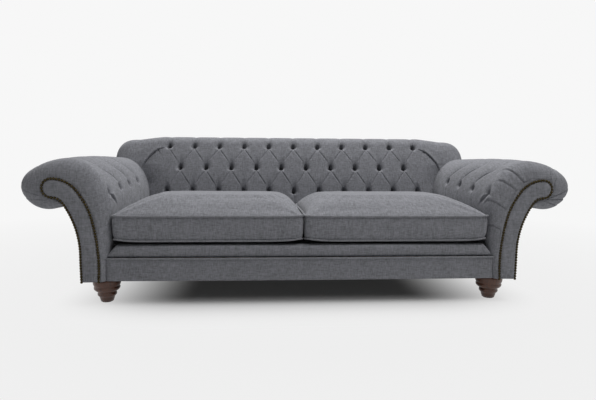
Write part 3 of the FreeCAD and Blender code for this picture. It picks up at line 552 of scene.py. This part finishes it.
def outside_arm_form(sign):
    """Sections of the outside arm panel along Y, softly padded."""
    places = stations(NAIL_PATH, range(PAD_ARCS, len(NAIL_PATH) - 1), PANEL_STEP)
    depth = np.arange(BOARD_FRONT, ARM_REAR + 0.001, 0.015)
    depth[-1] = ARM_REAR
    sections = []
    for y in depth:
        puff = OUTSIDE_PUFF * math.sin(math.pi * (y - BOARD_FRONT) / (ARM_REAR - BOARD_FRONT)) ** 0.5
        outer = line_along(NAIL_PATH, places, FACING_EDGE + puff)
        inner = line_along(NAIL_PATH, places[::-1], FACING_EDGE - PANEL_THICK)
        ring = np.concatenate([outer, inner])
        sections.append(np.stack([sign * ring[:, 0], np.full(len(ring), y), ring[:, 1]], axis=-1))
    return np.array(sections)


def arm_end_form(sign):
    """Rings of the rear panel's part behind an arm: the arm's whole cross-section."""
    skin = stations(ARM_SKIN, range(PAD_ARCS), PANEL_STEP)
    outside = stations(NAIL_PATH, range(PAD_ARCS, len(NAIL_PATH) - 1), PANEL_STEP)
    rings = []
    for inset, proud in ARM_END_PADDING:
        line = np.concatenate([
            line_along(ARM_SKIN, skin, -inset), line_along(NAIL_PATH, outside, FACING_EDGE - inset),
        ])
        depth = np.full(len(line), ARM_REAR + proud)
        rings.append(np.stack([sign * line[:, 0], depth, line[:, 1]], axis=-1))
    return np.array(rings)


# Back

def back_button_rows():
    """The three button rows of the back, as places along X and along the skin."""
    half = (BACK_COLUMNS - 1) / 2
    wide = [(i - half) * BACK_PITCH for i in range(BACK_COLUMNS)]
    narrow = [x + BACK_PITCH / 2 for x in wide[:-1]]
    heights = [length_to(BACK_SKIN, 0, fraction) for fraction in BACK_ROWS]
    return [[(x, h) for x in columns] for columns, h in zip((wide, narrow, wide), heights)]


def press_diamonds(cover, rows):
    """Creases between the button rows: those that fall to the right are folded over, others drawn in."""
    low, middle, high = (np.array(row) for row in rows)
    tip, shoulder = np.array((0.004, -0.020)), np.array((-0.006, 0.026))
    for heads, feet in ((high[:-1], middle), (middle, low[1:])):
        for head, foot in zip(heads, feet):
            cover.crease([head + tip, foot + shoulder], (0.004, 0.005), (0.0022, 0.0032), 0.25)
    tip, shoulder = np.array((-0.004, -0.020)), np.array((0.008, 0.030))
    for heads, feet in ((high[1:], middle), (middle, low[:-1])):
        for head, foot in zip(heads, feet):
            cover.crease([head + tip, foot + shoulder], (0.006, 0.004), (0.003, 0.003))


def press_shoulders(cover, rows):
    """On each side a band of the shoulder lies over the end of the inside back, gathered under it."""
    start, top = rows[2][-1]
    places = [(start + FOLD_START[0], FOLD_START[1]), *FOLD_LINE]
    fold = np.array([(x, top - drop) for x, drop in places])
    ridge = np.array([(x, top + rise) for x, rise in SHOULDER_RIDGE])
    for sign in (-1.0, 1.0):
        turn = int(sign)
        line = (fold * (sign, 1.0))[::turn]
        cover.crease(ridge * (sign, 1.0), (0.0, SHOULDER_SLOPE), (0.110, 0.110))
        cover.crease(line, FOLD_BROAD[::turn], (0.002, 0.090))
        cover.crease(line, FOLD_EDGE[::turn], (0.002, 0.006), 0.22)
        corner = [(sign * 0.900, 0.150), (sign * 0.890, top - 0.100)]
        cover.crease(corner, (CORNER_DEPTH, CORNER_DEPTH, 0.010), (0.080, 0.080))
        for x, head, drop in GATHERS:
            gather = [(sign * x, top - head), (sign * (x - 0.012), top - head - drop)]
            cover.crease(gather, (0.016, 0.006), (0.004, 0.006))


def back_relief(across, along):
    """Relief of the back's buttoned cover."""
    cover = Cover(across, along)
    rows = back_button_rows()
    over_roll = length_to(BACK_SKIN, 2, 0.6)
    press_diamonds(cover, rows)
    press_shoulders(cover, rows)
    for x, h in rows[2]:
        cover.crease([(x, h), (x + 0.004, over_roll)], (0.009, 0.002, 0.002), (0.014, 0.014))
    for x, h in rows[0]:
        cover.crease([(x, h), (x, 0.0)], (0.006, 0.004), (0.008, 0.008))
    for row in rows:
        for button in row:
            cover.pit(button, BACK_PIT, *BACK_PIT_SHAPE)
    return cover.relief()


def back_sections():
    """Ring-shaped sections of the back pad along X: buttoned skin, then the hollow side on the frame."""
    places = stations(BACK_SKIN, range(4), FINE)
    hollow_places = stations(BACK_CORE, range(4), COARSE)[::-1]
    flat = BACK_HALF - SHOULDER_RADIUS
    shoulder = flat + SHOULDER_RADIUS * np.sin(np.radians(np.arange(3, 91, 3)))
    across = np.concatenate([-shoulder[::-1], np.arange(-flat, flat + FINE / 2, FINE), shoulder])
    relief = back_relief(across, lengths_along(BACK_SKIN, places))
    skin = line_along(BACK_SKIN, places) + relief * outward_along(BACK_SKIN, places)
    core = line_along(BACK_CORE, places, GAP)
    reach = np.clip((np.abs(across) - flat) / SHOULDER_RADIUS, 0.0, 1.0)
    blend = 1.0 - np.sqrt(1.0 - (END_ROUNDNESS * reach) ** 2)
    cover = skin + (core - skin) * blend[:, None, None]
    hollow = line_along(BACK_CORE, hollow_places)
    hollow = np.broadcast_to(hollow, (len(across), *hollow.shape))
    ring = np.concatenate([cover, hollow], axis=1)
    room = np.interp(ring[..., 1], *ROOM_IN_ARMS)
    across = np.clip(across[:, None], -room, room)
    return np.concatenate([across[..., None], ring], axis=-1)


def back_end_form(sign):
    """Rings of the cloth that closes one end of the back's roll."""
    places = stations(BACK_CORE, (1, 2, 3), PANEL_STEP)
    rings = []
    for inset, proud in BACK_END_PADDING:
        line = line_along(BACK_CORE, places, GAP - inset)
        rings.append(np.column_stack([np.full(len(line), sign * (BACK_HALF + proud)), line]))
    return np.array(rings)


def back_button_forms():
    """Domes of the back's covered buttons on the floors of their pits."""
    forms = []
    for row, fraction in zip(back_button_rows(), BACK_ROWS):
        floor = np.array(point_on(BACK_SKIN, 0, fraction, -BACK_PIT))
        outward = np.array(point_on(BACK_SKIN, 0, fraction)) - floor
        forms += [dome_sections((x, *floor), (0, *outward), BUTTON_RADIUS, BUTTON_HEIGHT) for x, _ in row]
    return forms


# Seat

def bar_form(half, middle, radii, square, bow, bevel=0.0):
    """Sections along X of a rounded bar that bows forward; its ends may slant in at the top."""
    turn = np.radians(np.arange(0, 360, 6))
    y = np.sign(np.cos(turn)) * np.abs(np.cos(turn)) ** (2 / square)
    z = np.sign(np.sin(turn)) * np.abs(np.sin(turn)) ** (2 / square)
    narrower = 1.0 - bevel / half * (1.0 + z) / 2
    sections = []
    for x in np.linspace(-half, half, 140):
        forward = bow * (1 - (x / half) ** 2)
        depth = middle[0] + radii[0] * y - np.where(y < 0, forward, 0.0) * np.abs(y)
        sections.append(np.stack([x * narrower, depth, middle[1] + radii[1] * z], axis=-1))
    return np.array(sections)


def cushion_loop(inset, corner, height, ear=0.0, fuller=0.0):
    """Plan outline of the right cushion: corners raised by the ear, sides drawn in, the inner one fuller."""
    middle = ((sum(CUSHION_X) - fuller) / 2, sum(CUSHION_Y) / 2)
    a = (CUSHION_X[1] - CUSHION_X[0] + fuller) / 2 - inset
    b = (CUSHION_Y[1] - CUSHION_Y[0]) / 2 - inset
    corner = min(corner, 0.7 * b)
    turns = [(a - corner, -b), (a, corner - b), (a, b - corner), (a - corner, b)]
    turns += [(corner - a, b), (-a, b - corner), (-a, corner - b), (corner - a, -b)]
    path = tangent_path((corner - a, -b), SIDE_TURN_DEGREES, turns)
    loop = []
    for arc in range(8):
        steps = 12 if arc % 2 else 80
        loop += [point_on(path, arc, i / steps) for i in range(steps)]
    loop = np.array(loop)
    lift = ear * np.prod(np.abs(loop) / (a, b), axis=1) ** EAR_SHARPNESS
    return np.column_stack([loop + middle, height + lift])


def cushion_rings(swell):
    """Rings of the right cushion from the middle of its underside to the middle of its top."""
    rings = []
    for step in np.linspace(1.0, 0.0, 8):
        drop = CUSHION_BELLY * math.sin(math.pi / 2 * step)
        inset = SEAM_INSET + BELLY_REACH * step
        corner = LOW_CORNER + BELLY_ROUNDING * step
        rings.append(cushion_loop(inset, corner, SEAM_LOW - drop, LOW_EAR * (1 - step)))
    for step in (0.25, 0.5, 0.75):
        height = SEAM_LOW + (SEAM_HIGH - SEAM_LOW) * step
        corner = LOW_CORNER + (CUSHION_CORNER - LOW_CORNER) * step
        rings.append(cushion_loop(BOXING_INSET, corner, height, LOW_EAR + (HIGH_EAR - LOW_EAR) * step))
    for step in np.linspace(0.0, 1.0, 14):
        rise = swell * CUSHION_CROWN * math.sin(math.pi / 2 * step) ** CROWN_SHARPNESS
        inset = SEAM_INSET + CROWN_REACH * step
        corner = CUSHION_CORNER + CROWN_ROUNDING * step
        ear = HIGH_EAR * (1 - step)
        rings.append(cushion_loop(inset, corner, SEAM_HIGH + rise, ear, INNER_FULLNESS * step))
    return np.array(rings)


def seam_lines():
    """Lines of the lower and upper seam of the right cushion."""
    low = cushion_loop(PIPING_INSET, LOW_CORNER, SEAM_LOW, LOW_EAR)
    high = cushion_loop(PIPING_INSET, CUSHION_CORNER, SEAM_HIGH, HIGH_EAR)
    return low, high


def evaluated_mesh(piece):
    """Mesh of an object with its modifiers applied."""
    graph = bpy.context.evaluated_depsgraph_get()
    return bpy.data.meshes.new_from_object(piece.evaluated_get(graph))


def helper(mesh):
    """Object for a mesh that is only worked on."""
    piece = bpy.data.objects.new("helper", mesh)
    bpy.context.scene.collection.objects.link(piece)
    return piece


def mesh_points(mesh):
    """All vertices of a mesh as an array."""
    points = np.empty(3 * len(mesh.vertices))
    mesh.vertices.foreach_get("co", points)
    return points.reshape(-1, 3)


def even_mesh(mesh):
    """The same closed form with an even net of small faces."""
    piece = helper(mesh)
    remesh = piece.modifiers.new("even net", "REMESH")
    remesh.mode = "VOXEL"
    remesh.voxel_size = CLOTH_NET
    even = evaluated_mesh(piece)
    bpy.data.objects.remove(piece)
    return even


def blown_up(mesh):
    """Cushion cover blown up by its filling in a cloth simulation, with the seams held still."""
    piece = helper(mesh)
    start = mesh_points(mesh)
    on_seam = np.minimum(np.abs(start[:, 2] - SEAM_LOW), np.abs(start[:, 2] - SEAM_HIGH)) < CLOTH_NET
    seams = piece.vertex_groups.new(name="seams")
    seams.add(np.flatnonzero(on_seam).tolist(), 1.0, "REPLACE")
    cloth = piece.modifiers.new("cover", "CLOTH")
    cloth.settings.vertex_group_mass = seams.name
    cloth.settings.use_pressure = True
    cloth.settings.uniform_pressure_force = CLOTH_PRESSURE
    cloth.settings.effector_weights.gravity = 0.0
    cloth.collision_settings.use_collision = False
    scene = bpy.context.scene
    for moment in range(1, CLOTH_FRAMES + 1):
        scene.frame_set(moment)
    full = evaluated_mesh(piece)
    scene.frame_set(1)
    bpy.data.objects.remove(piece)
    moved = mesh_points(full) - start
    length = np.linalg.norm(moved, axis=1, keepdims=True)
    moved *= np.minimum(1.0, MOST_MOVED / np.maximum(length, 1e-9))
    points = start + moved
    points[:, 0] = np.clip(points[:, 0], CUSHION_X[0] - GAP, CUSHION_X[1])
    points[:, 1] = np.clip(points[:, 1], CUSHION_Y[0] - SIDE_ROOM, CUSHION_Y[1] + SIDE_ROOM)
    points[:, 2] = np.maximum(points[:, 2], SEAM_LOW - CUSHION_BELLY)
    full.vertices.foreach_set("co", points.ravel())
    return full


def smoothed(mesh):
    """Mesh subdivided once."""
    piece = helper(mesh)
    piece.modifiers.new("finer", "SUBSURF").levels = 1
    fine = evaluated_mesh(piece)
    bpy.data.objects.remove(piece)
    fine.shade_smooth()
    return fine


def cushion_mesh():
    return smoothed(blown_up(even_mesh(mesh_of("cushion", [cushion_rings(START_SWELL)]))))


def mirrored_copy(mesh, name, sign):
    """Copy of a right-hand mesh for one side, facing outward."""
    copy = mesh.copy()
    copy.name = name
    if sign < 0:
        copy.transform(Matrix.Scale(-1.0, 4, (1.0, 0.0, 0.0)))
        copy.flip_normals()
    return copy


def add_cushion(side, sign, cover):
    """One loose seat cushion with its piping, riding on its own body."""
    body = f"{side}_seat_cushion"
    mesh = mirrored_copy(cover, f"{side}_seat_cushion_cover", sign)
    stands_for = [f"{side}_cushion_cover", f"{side}_cushion_core"]
    add_piece(mesh.name, mesh, CLOTH, stands_for, body)
    forms = [tube_sections(line * (sign, 1.0, 1.0), PIPING_RADIUS, True) for line in seam_lines()]
    mesh = mesh_of(f"{side}_seat_cushion_piping", forms)
    add_piece(mesh.name, mesh, PIPING, [f"{side}_cushion_piping"], body)


def foot_form(place):
    """Rings of a turned foot: bun with a groove, neck, small ring and tapered base."""
    bun = [(0.054, 0.107), (0.0575, 0.102), (0.0595, 0.096), (0.060, 0.090), (0.0592, 0.083), (0.057, 0.077)]
    groove = [(0.055, 0.0735), (0.0535, 0.0715), (0.055, 0.0695), (0.0565, 0.066), (0.0555, 0.060)]
    neck = [(0.051, 0.054), (0.044, 0.049), (0.037, 0.047)]
    ring = [(0.0385, 0.044), (0.041, 0.040), (0.0415, 0.036), (0.040, 0.031), (0.036, 0.027)]
    base = [(0.033, 0.023), (0.0305, 0.014), (0.027, 0.003)]
    turn = np.radians(np.arange(0, 360, 7.5))
    rings = []
    for radius, height in bun + groove + neck + ring + base:
        x, y = place[0] + radius * np.cos(turn), place[1] + radius * np.sin(turn)
        rings.append(np.stack([x, y, np.full(len(turn), height)], axis=-1))
    return np.array(rings)


# Materials

def colour(code):
    """Linear colour of an sRGB hex code."""
    channels = [int(code[i:i + 2], 16) / 255 for i in (1, 3, 5)]
    return (*[c / 12.92 if c <= 0.04045 else ((c + 0.055) / 1.055) ** 2.4 for c in channels], 1.0)


def add_node(tree, kind, inputs=(), **settings):
    """Adds a node with its settings; an input takes a value or the socket to link from."""
    node = tree.nodes.new(kind)
    for name, value in settings.items():
        setattr(node, name, value)
    for name, value in dict(inputs).items():
        if isinstance(value, bpy.types.NodeSocket):
            tree.links.new(value, node.inputs[name])
        else:
            node.inputs[name].default_value = value
    return node


def new_material(name, inputs):
    """Material with a Principled shader whose plain inputs are set."""
    material = bpy.data.materials.new(name)
    material.use_nodes = True
    shader = material.node_tree.nodes["Principled BSDF"]
    for socket, value in inputs.items():
        shader.inputs[socket].default_value = value
    return material, material.node_tree, shader


def linen_cloth(name, dark, light, slub):
    """Plain-woven linen-look cloth: matt, with uneven threads of two greys and a faint nap."""
    material, tree, shader = new_material(name, {
        "Roughness": 0.92, "Specular IOR Level": 0.25, "Sheen Weight": 0.12, "Sheen Roughness": 0.5,
    })
    places = add_node(tree, "ShaderNodeTexCoord").outputs["Object"]
    # Threads are under 1 mm apart; they are drawn coarser so that the slubs show
    slub_length, blotch = 0.024, 0.12
    long, thin = 1 / slub_length, 1 / slub
    threads = []
    for scale in ((long, thin, thin), (thin, long, long)):
        stretched = add_node(tree, "ShaderNodeMapping", {"Vector": places, "Scale": scale})
        threads.append(add_node(tree, "ShaderNodeTexNoise", {
            "Vector": stretched.outputs["Vector"], "Scale": 1.0, "Detail": 2.0, "Roughness": 0.6,
        }).outputs["Fac"])
    weave = add_node(tree, "ShaderNodeMath", {0: threads[0], 1: threads[1]}, operation="ADD")
    uneven = add_node(tree, "ShaderNodeTexNoise", {"Vector": places, "Scale": 1 / blotch, "Detail": 2.0})
    mixed = add_node(tree, "ShaderNodeMath", {0: uneven.outputs["Fac"], 1: 0.2, 2: weave.outputs["Value"]},
                     operation="MULTIPLY_ADD")
    ramp = add_node(tree, "ShaderNodeMapRange", {
        "Value": mixed.outputs["Value"], "From Min": 0.68, "From Max": 1.52,
    })
    paint = add_node(tree, "ShaderNodeMix", {"Factor": ramp.outputs["Result"]}, data_type="RGBA")
    paint.inputs["A"].default_value = colour(dark)
    paint.inputs["B"].default_value = colour(light)
    bump = add_node(tree, "ShaderNodeBump", {
        "Height": weave.outputs["Value"], "Strength": 0.5, "Distance": 0.0012,
    })
    tree.links.new(paint.outputs["Result"], shader.inputs["Base Color"])
    tree.links.new(bump.outputs["Normal"], shader.inputs["Normal"])
    return material


def antique_brass():
    """Antiqued brass nails: warm dark metal, patchy with brown, dull shine on the domes."""
    material, tree, shader = new_material("antique brass", {"Metallic": 1.0, "Roughness": 0.25})
    places = add_node(tree, "ShaderNodeTexCoord").outputs["Object"]
    spot = 0.006
    patina = add_node(tree, "ShaderNodeTexNoise", {"Vector": places, "Scale": 1 / spot, "Detail": 3.0})
    paint = add_node(tree, "ShaderNodeMix", {"Factor": patina.outputs["Fac"]}, data_type="RGBA")
    paint.inputs["A"].default_value = colour("#0f0c06")
    paint.inputs["B"].default_value = colour("#4a4029")
    tree.links.new(paint.outputs["Result"], shader.inputs["Base Color"])
    return material


def dark_stained_wood():
    """Dark stained hardwood, turned and thinly lacquered: fine long grain under a semi-gloss coat."""
    material, tree, shader = new_material("stained beech", {
        "Roughness": 0.4, "IOR": 1.5, "Coat Weight": 0.15, "Coat Roughness": 0.12,
    })
    places = add_node(tree, "ShaderNodeTexCoord").outputs["Object"]
    width, length = 0.006, 0.060
    scale = (1 / width, 1 / width, 1 / length)
    stretched = add_node(tree, "ShaderNodeMapping", {"Vector": places, "Scale": scale})
    grain = add_node(tree, "ShaderNodeTexNoise", {
        "Vector": stretched.outputs["Vector"], "Scale": 1.0, "Detail": 4.0, "Distortion": 0.6,
    })
    paint = add_node(tree, "ShaderNodeMix", {"Factor": grain.outputs["Fac"]}, data_type="RGBA")
    paint.inputs["A"].default_value = colour("#1f0d05")
    paint.inputs["B"].default_value = colour("#6b3b21")
    bump = add_node(tree, "ShaderNodeBump", {
        "Height": grain.outputs["Fac"], "Strength": 0.15, "Distance": 0.0005,
    })
    tree.links.new(paint.outputs["Result"], shader.inputs["Base Color"])
    tree.links.new(bump.outputs["Normal"], shader.inputs["Normal"])
    return material


def speckled(name, dark, light, scale, stretch, inputs):
    """Plain material with a stretched grain of two colours, for the pieces inside and under the sofa."""
    material, tree, shader = new_material(name, inputs)
    places = add_node(tree, "ShaderNodeTexCoord").outputs["Object"]
    size = [1 / (scale * factor) for factor in stretch]
    stretched = add_node(tree, "ShaderNodeMapping", {"Vector": places, "Scale": size})
    grain = add_node(tree, "ShaderNodeTexNoise", {
        "Vector": stretched.outputs["Vector"], "Scale": 1.0, "Detail": 3.0,
    })
    paint = add_node(tree, "ShaderNodeMix", {"Factor": grain.outputs["Fac"]}, data_type="RGBA")
    paint.inputs["A"].default_value = colour(dark)
    paint.inputs["B"].default_value = colour(light)
    bump = add_node(tree, "ShaderNodeBump", {
        "Height": grain.outputs["Fac"], "Strength": 0.3, "Distance": 0.0005,
    })
    tree.links.new(paint.outputs["Result"], shader.inputs["Base Color"])
    tree.links.new(bump.outputs["Normal"], shader.inputs["Normal"])
    return material


CLOTH = linen_cloth("grey linen-look weave", "#646569", "#93949a", 0.005)
PIPING = linen_cloth("grey weave cut on the bias", "#66676b", "#8f9095", 0.004)
BRASS = antique_brass()
FOOT_WOOD = dark_stained_wood()
DECK_CLOTH = linen_cloth("black platform cloth", "#242427", "#313135", 0.003)
EVEN = (1, 1, 1)
INSIDE = {
    "frame_wood": speckled("planed beech", "#b58a5c", "#d2ab7c", 0.004, (12, 1, 1), {"Roughness": 0.6}),
    "webbing": speckled("jute webbing", "#7d6843", "#a58d60", 0.003, (1, 4, 1), {"Roughness": 0.9}),
    "steel": speckled("zinc-plated steel", "#9b9fa3", "#c5c9cc", 0.004, EVEN,
                      {"Roughness": 0.35, "Metallic": 1.0}),
    "glides": speckled("moulded nylon", "#1f1e1d", "#2c2b29", 0.002, EVEN, {"Roughness": 0.5}),
    "dust_cloth": speckled("spunbonded polypropylene", "#151515", "#242424", 0.002, EVEN,
                           {"Roughness": 0.95}),
    "foam": speckled("polyurethane foam", "#cfc6ad", "#e0d8c2", 0.002, EVEN, {"Roughness": 0.95}),
}


# Sofa

def add_arm(side, sign):
    """One arm: buttoned pad, buttons, facing with nails, and outside panel."""
    mesh = mesh_of(f"{side}_arm_cover", [arm_sections(sign)])
    add_piece(mesh.name, mesh, CLOTH, [f"{side}_arm_pad"])
    mesh = mesh_of(f"{side}_arm_covered_buttons", arm_button_forms(sign))
    add_piece(mesh.name, mesh, CLOTH, [f"{side}_arm_buttons"])
    mesh = mesh_of(f"{side}_arm_facing_panel", [facing_form(sign)])
    add_piece(mesh.name, mesh, CLOTH, [f"{side}_arm_facing"])
    mesh = mesh_of(f"{side}_arm_nails", nail_forms(sign))
    add_piece(mesh.name, mesh, BRASS, [f"{side}_arm_nail_trim"])
    mesh = mesh_of(f"{side}_outside_arm", [outside_arm_form(sign)])
    add_piece(mesh.name, mesh, CLOTH, [f"{side}_arm_outside_panel"])


def add_back():
    """Inside back with its buttons, and the outside back."""
    mesh = mesh_of("back_cover", [back_sections()])
    add_piece(mesh.name, mesh, CLOTH, ["back_pad"])
    mesh = mesh_of("back_covered_buttons", back_button_forms())
    add_piece(mesh.name, mesh, CLOTH, ["back_buttons"])
    rear = [bar_form(*REAR_BAR, 0.0)]
    for sign in SIDES.values():
        rear += [arm_end_form(sign), back_end_form(sign)]
    mesh = mesh_of("outside_back", rear)
    add_piece(mesh.name, mesh, CLOTH, ["back_outside_panel"])


def add_seat():
    """Border, piping and edge roll under the cushions, and the deck behind them."""
    mesh = mesh_of("seat_border", [bar_form(*BORDER_BAR, BORDER_BOW)])
    add_piece(mesh.name, mesh, CLOTH, ["front_border"])
    mesh = mesh_of("seat_edge_roll", [bar_form(*LIP_BAR, BORDER_BOW, LIP_BEVEL)])
    add_piece(mesh.name, mesh, CLOTH, ["front_edge_roll"])
    x = np.linspace(-BORDER_SEAM_HALF, BORDER_SEAM_HALF, 120)
    bow = BORDER_BOW * (1 - (x / BORDER_SEAM_HALF) ** 2)
    line = np.column_stack([x, BORDER_SEAM[0] - bow, np.full(len(x), BORDER_SEAM[1])])
    mesh = mesh_of("seat_border_piping", [tube_sections(line, PIPING_RADIUS, False)])
    add_piece(mesh.name, mesh, PIPING, ["front_border_piping"])
    low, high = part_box("seat_deck_pad")
    middle, radii = (low + high) / 2, (high - low) / 2
    bar = bar_form(radii.x, (middle.y, middle.z), (radii.y, radii.z), DECK_SQUARENESS, 0.0)
    mesh = mesh_of("seat_deck", [bar])
    add_piece(mesh.name, mesh, DECK_CLOTH, ["seat_deck_pad"])


def add_feet():
    """Turned feet at the corners."""
    for corner in ("front_left", "front_right", "rear_left", "rear_right"):
        low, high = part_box(f"{corner}_foot")
        middle = (low + high) / 2
        mesh = mesh_of(f"{corner}_turned_foot", [foot_form(middle)])
        add_piece(mesh.name, mesh, FOOT_WOOD, [f"{corner}_foot"])


def finish_cad_nodes():
    """Gives the nodes that stay inside and under the sofa the materials of their slots."""
    for part in frame["record"]["subparts"]:
        if part["material_slot"] in INSIDE:
            mesh = nodes[part["node"]].data
            mesh.materials.clear()
            mesh.materials.append(INSIDE[part["material_slot"]])


add_back()
filled_cover = cushion_mesh()
for side, sign in SIDES.items():
    add_arm(side, sign)
    add_cushion(side, sign, filled_cover)
add_seat()
add_feet()
finish_cad_nodes()


# Studio

def sight(tree):
    """1 for the rays that show the background: seen, mirrored in metal or through glass; 0 for light."""
    path = add_node(tree, "ShaderNodeLightPath").outputs
    mirrored = add_node(tree, "ShaderNodeMath", {0: path["Is Glossy Ray"], 1: path["Is Transmission Ray"]},
                        operation="MAXIMUM").outputs["Value"]
    return add_node(tree, "ShaderNodeMath", {0: path["Is Camera Ray"], 1: mirrored},
                    operation="MAXIMUM").outputs["Value"]


def add_floor():
    """Pale seamless floor that keeps the shadow near the sofa and goes over into the plain background,
    greyer near the sofa as painted shade.
    """
    material = bpy.data.materials.new("matt white floor")
    material.use_nodes = True
    tree = material.node_tree
    tree.nodes.clear()
    places = add_node(tree, "ShaderNodeTexCoord").outputs["Object"]
    # The farther outside the core of the shade, the less of it is left
    outside = add_node(tree, "ShaderNodeVectorMath", {0: places}, operation="ABSOLUTE")
    for operation, size in (("SUBTRACT", SHADE_CORE), ("DIVIDE", SHADE_FADE), ("MAXIMUM", (0.0, 0.0, 0.0))):
        outside = add_node(tree, "ShaderNodeVectorMath", {
            0: outside.outputs["Vector"], 1: size,
        }, operation=operation)
    outside = add_node(tree, "ShaderNodeVectorMath", {0: outside.outputs["Vector"]}, operation="LENGTH")
    fade = add_node(tree, "ShaderNodeMapRange", {
        "Value": outside.outputs["Value"], "To Min": PLAIN_IN_SHADE,
    }, interpolation_type="SMOOTHSTEP")
    seen = add_node(tree, "ShaderNodeMath", {
        0: fade.outputs["Result"], 1: sight(tree),
    }, operation="MULTIPLY")
    # Where seen, the plain floor is greyer near the sofa, a painted shade that fades into the background
    # farther off
    far = add_node(tree, "ShaderNodeVectorMath", {0: places}, operation="LENGTH")
    far = add_node(tree, "ShaderNodeMapRange", {
        "Value": far.outputs["Value"], "From Min": FLOOR_FADE[0], "From Max": FLOOR_FADE[1],
    })
    paint = add_node(tree, "ShaderNodeMix", {"Factor": far.outputs["Result"]}, data_type="RGBA")
    paint.inputs["A"].default_value = colour(NEAR_FLOOR_PAINTED_SHADE)
    paint.inputs["B"].default_value = colour(BACKGROUND)
    shaded = add_node(tree, "ShaderNodeBsdfDiffuse", {"Color": colour(FLOOR_PAINT)})
    plain = add_node(tree, "ShaderNodeEmission", {"Color": paint.outputs["Result"]})
    both = add_node(tree, "ShaderNodeMixShader", {
        "Fac": seen.outputs["Value"], 1: shaded.outputs["BSDF"], 2: plain.outputs["Emission"],
    })
    add_node(tree, "ShaderNodeOutputMaterial", {"Surface": both.outputs["Shader"]})
    mesh = bpy.data.meshes.new("studio_floor")
    work = bmesh.new()
    bmesh.ops.create_grid(work, x_segments=8, y_segments=8, size=FLOOR_HALF)
    work.to_mesh(mesh)
    work.free()
    mesh.materials.append(material)
    floor = bpy.data.objects.new("studio_floor", mesh)
    bpy.context.scene.collection.objects.link(floor)


def add_softbox(name, place, target, size, power):
    """Large soft lamp that looks at a point."""
    lamp = bpy.data.lights.new(name, "AREA")
    lamp.shape = "RECTANGLE"
    lamp.size, lamp.size_y = size
    lamp.energy = power
    softbox = bpy.data.objects.new(name, lamp)
    softbox.location = place
    softbox.rotation_mode = "QUATERNION"
    softbox.rotation_quaternion = (Vector(target) - Vector(place)).to_track_quat("-Z", "Y")
    bpy.context.scene.collection.objects.link(softbox)


def add_world():
    """Even pale surroundings: dim as light, near white where they are seen."""
    world = bpy.data.worlds.new("studio")
    bpy.context.scene.world = world
    world.use_nodes = True
    tree = world.node_tree
    tree.nodes.clear()
    light = add_node(tree, "ShaderNodeBackground", {"Color": colour("#ffffff"), "Strength": WORLD_LIGHT})
    plain = add_node(tree, "ShaderNodeBackground", {"Color": colour(BACKGROUND)})
    both = add_node(tree, "ShaderNodeMixShader", {
        "Fac": sight(tree), 1: light.outputs["Background"], 2: plain.outputs["Background"],
    })
    add_node(tree, "ShaderNodeOutputWorld", {"Surface": both.outputs["Shader"]})


def add_camera():
    """Camera at the viewing angle of the picture."""
    yaw, pitch, roll = CAMERA_TURNS
    level = Vector((math.sin(yaw), math.cos(yaw), 0.0))
    right = Vector((math.cos(yaw), -math.sin(yaw), 0.0))
    forward = level * math.cos(pitch) - Vector((0, 0, math.sin(pitch)))
    up = Vector((0, 0, math.cos(pitch))) + level * math.sin(pitch)
    side = right * math.cos(roll) + up * math.sin(roll)
    top = up * math.cos(roll) - right * math.sin(roll)
    lens = bpy.data.cameras.new("camera")
    lens.sensor_width = SENSOR_WIDTH
    lens.lens = SENSOR_WIDTH * FOCAL_PIXELS / PICTURE_WIDTH
    lens.shift_x = SHIFT_PIXELS / PICTURE_WIDTH
    lens.clip_end = 200.0
    camera = bpy.data.objects.new("camera", lens)
    turned = Matrix((side, top, -forward)).transposed().to_4x4()
    camera.matrix_world = Matrix.Translation(CAMERA_PLACE) @ turned
    bpy.context.scene.collection.objects.link(camera)
    bpy.context.scene.camera = camera


add_floor()
add_world()
add_softbox("overhead softbox", place=(0.8, 0.45, 5.5), target=(0.2, 0.1, 0.0), size=(9.0, 2.0), power=452.0)
add_softbox("side softbox", place=(-4.5, -0.6, 2.2), target=(0.0, 0.0, 0.5), size=(2.5, 2.5), power=20.0)
add_camera()
bpy.context.scene.view_settings.view_transform = "Standard"
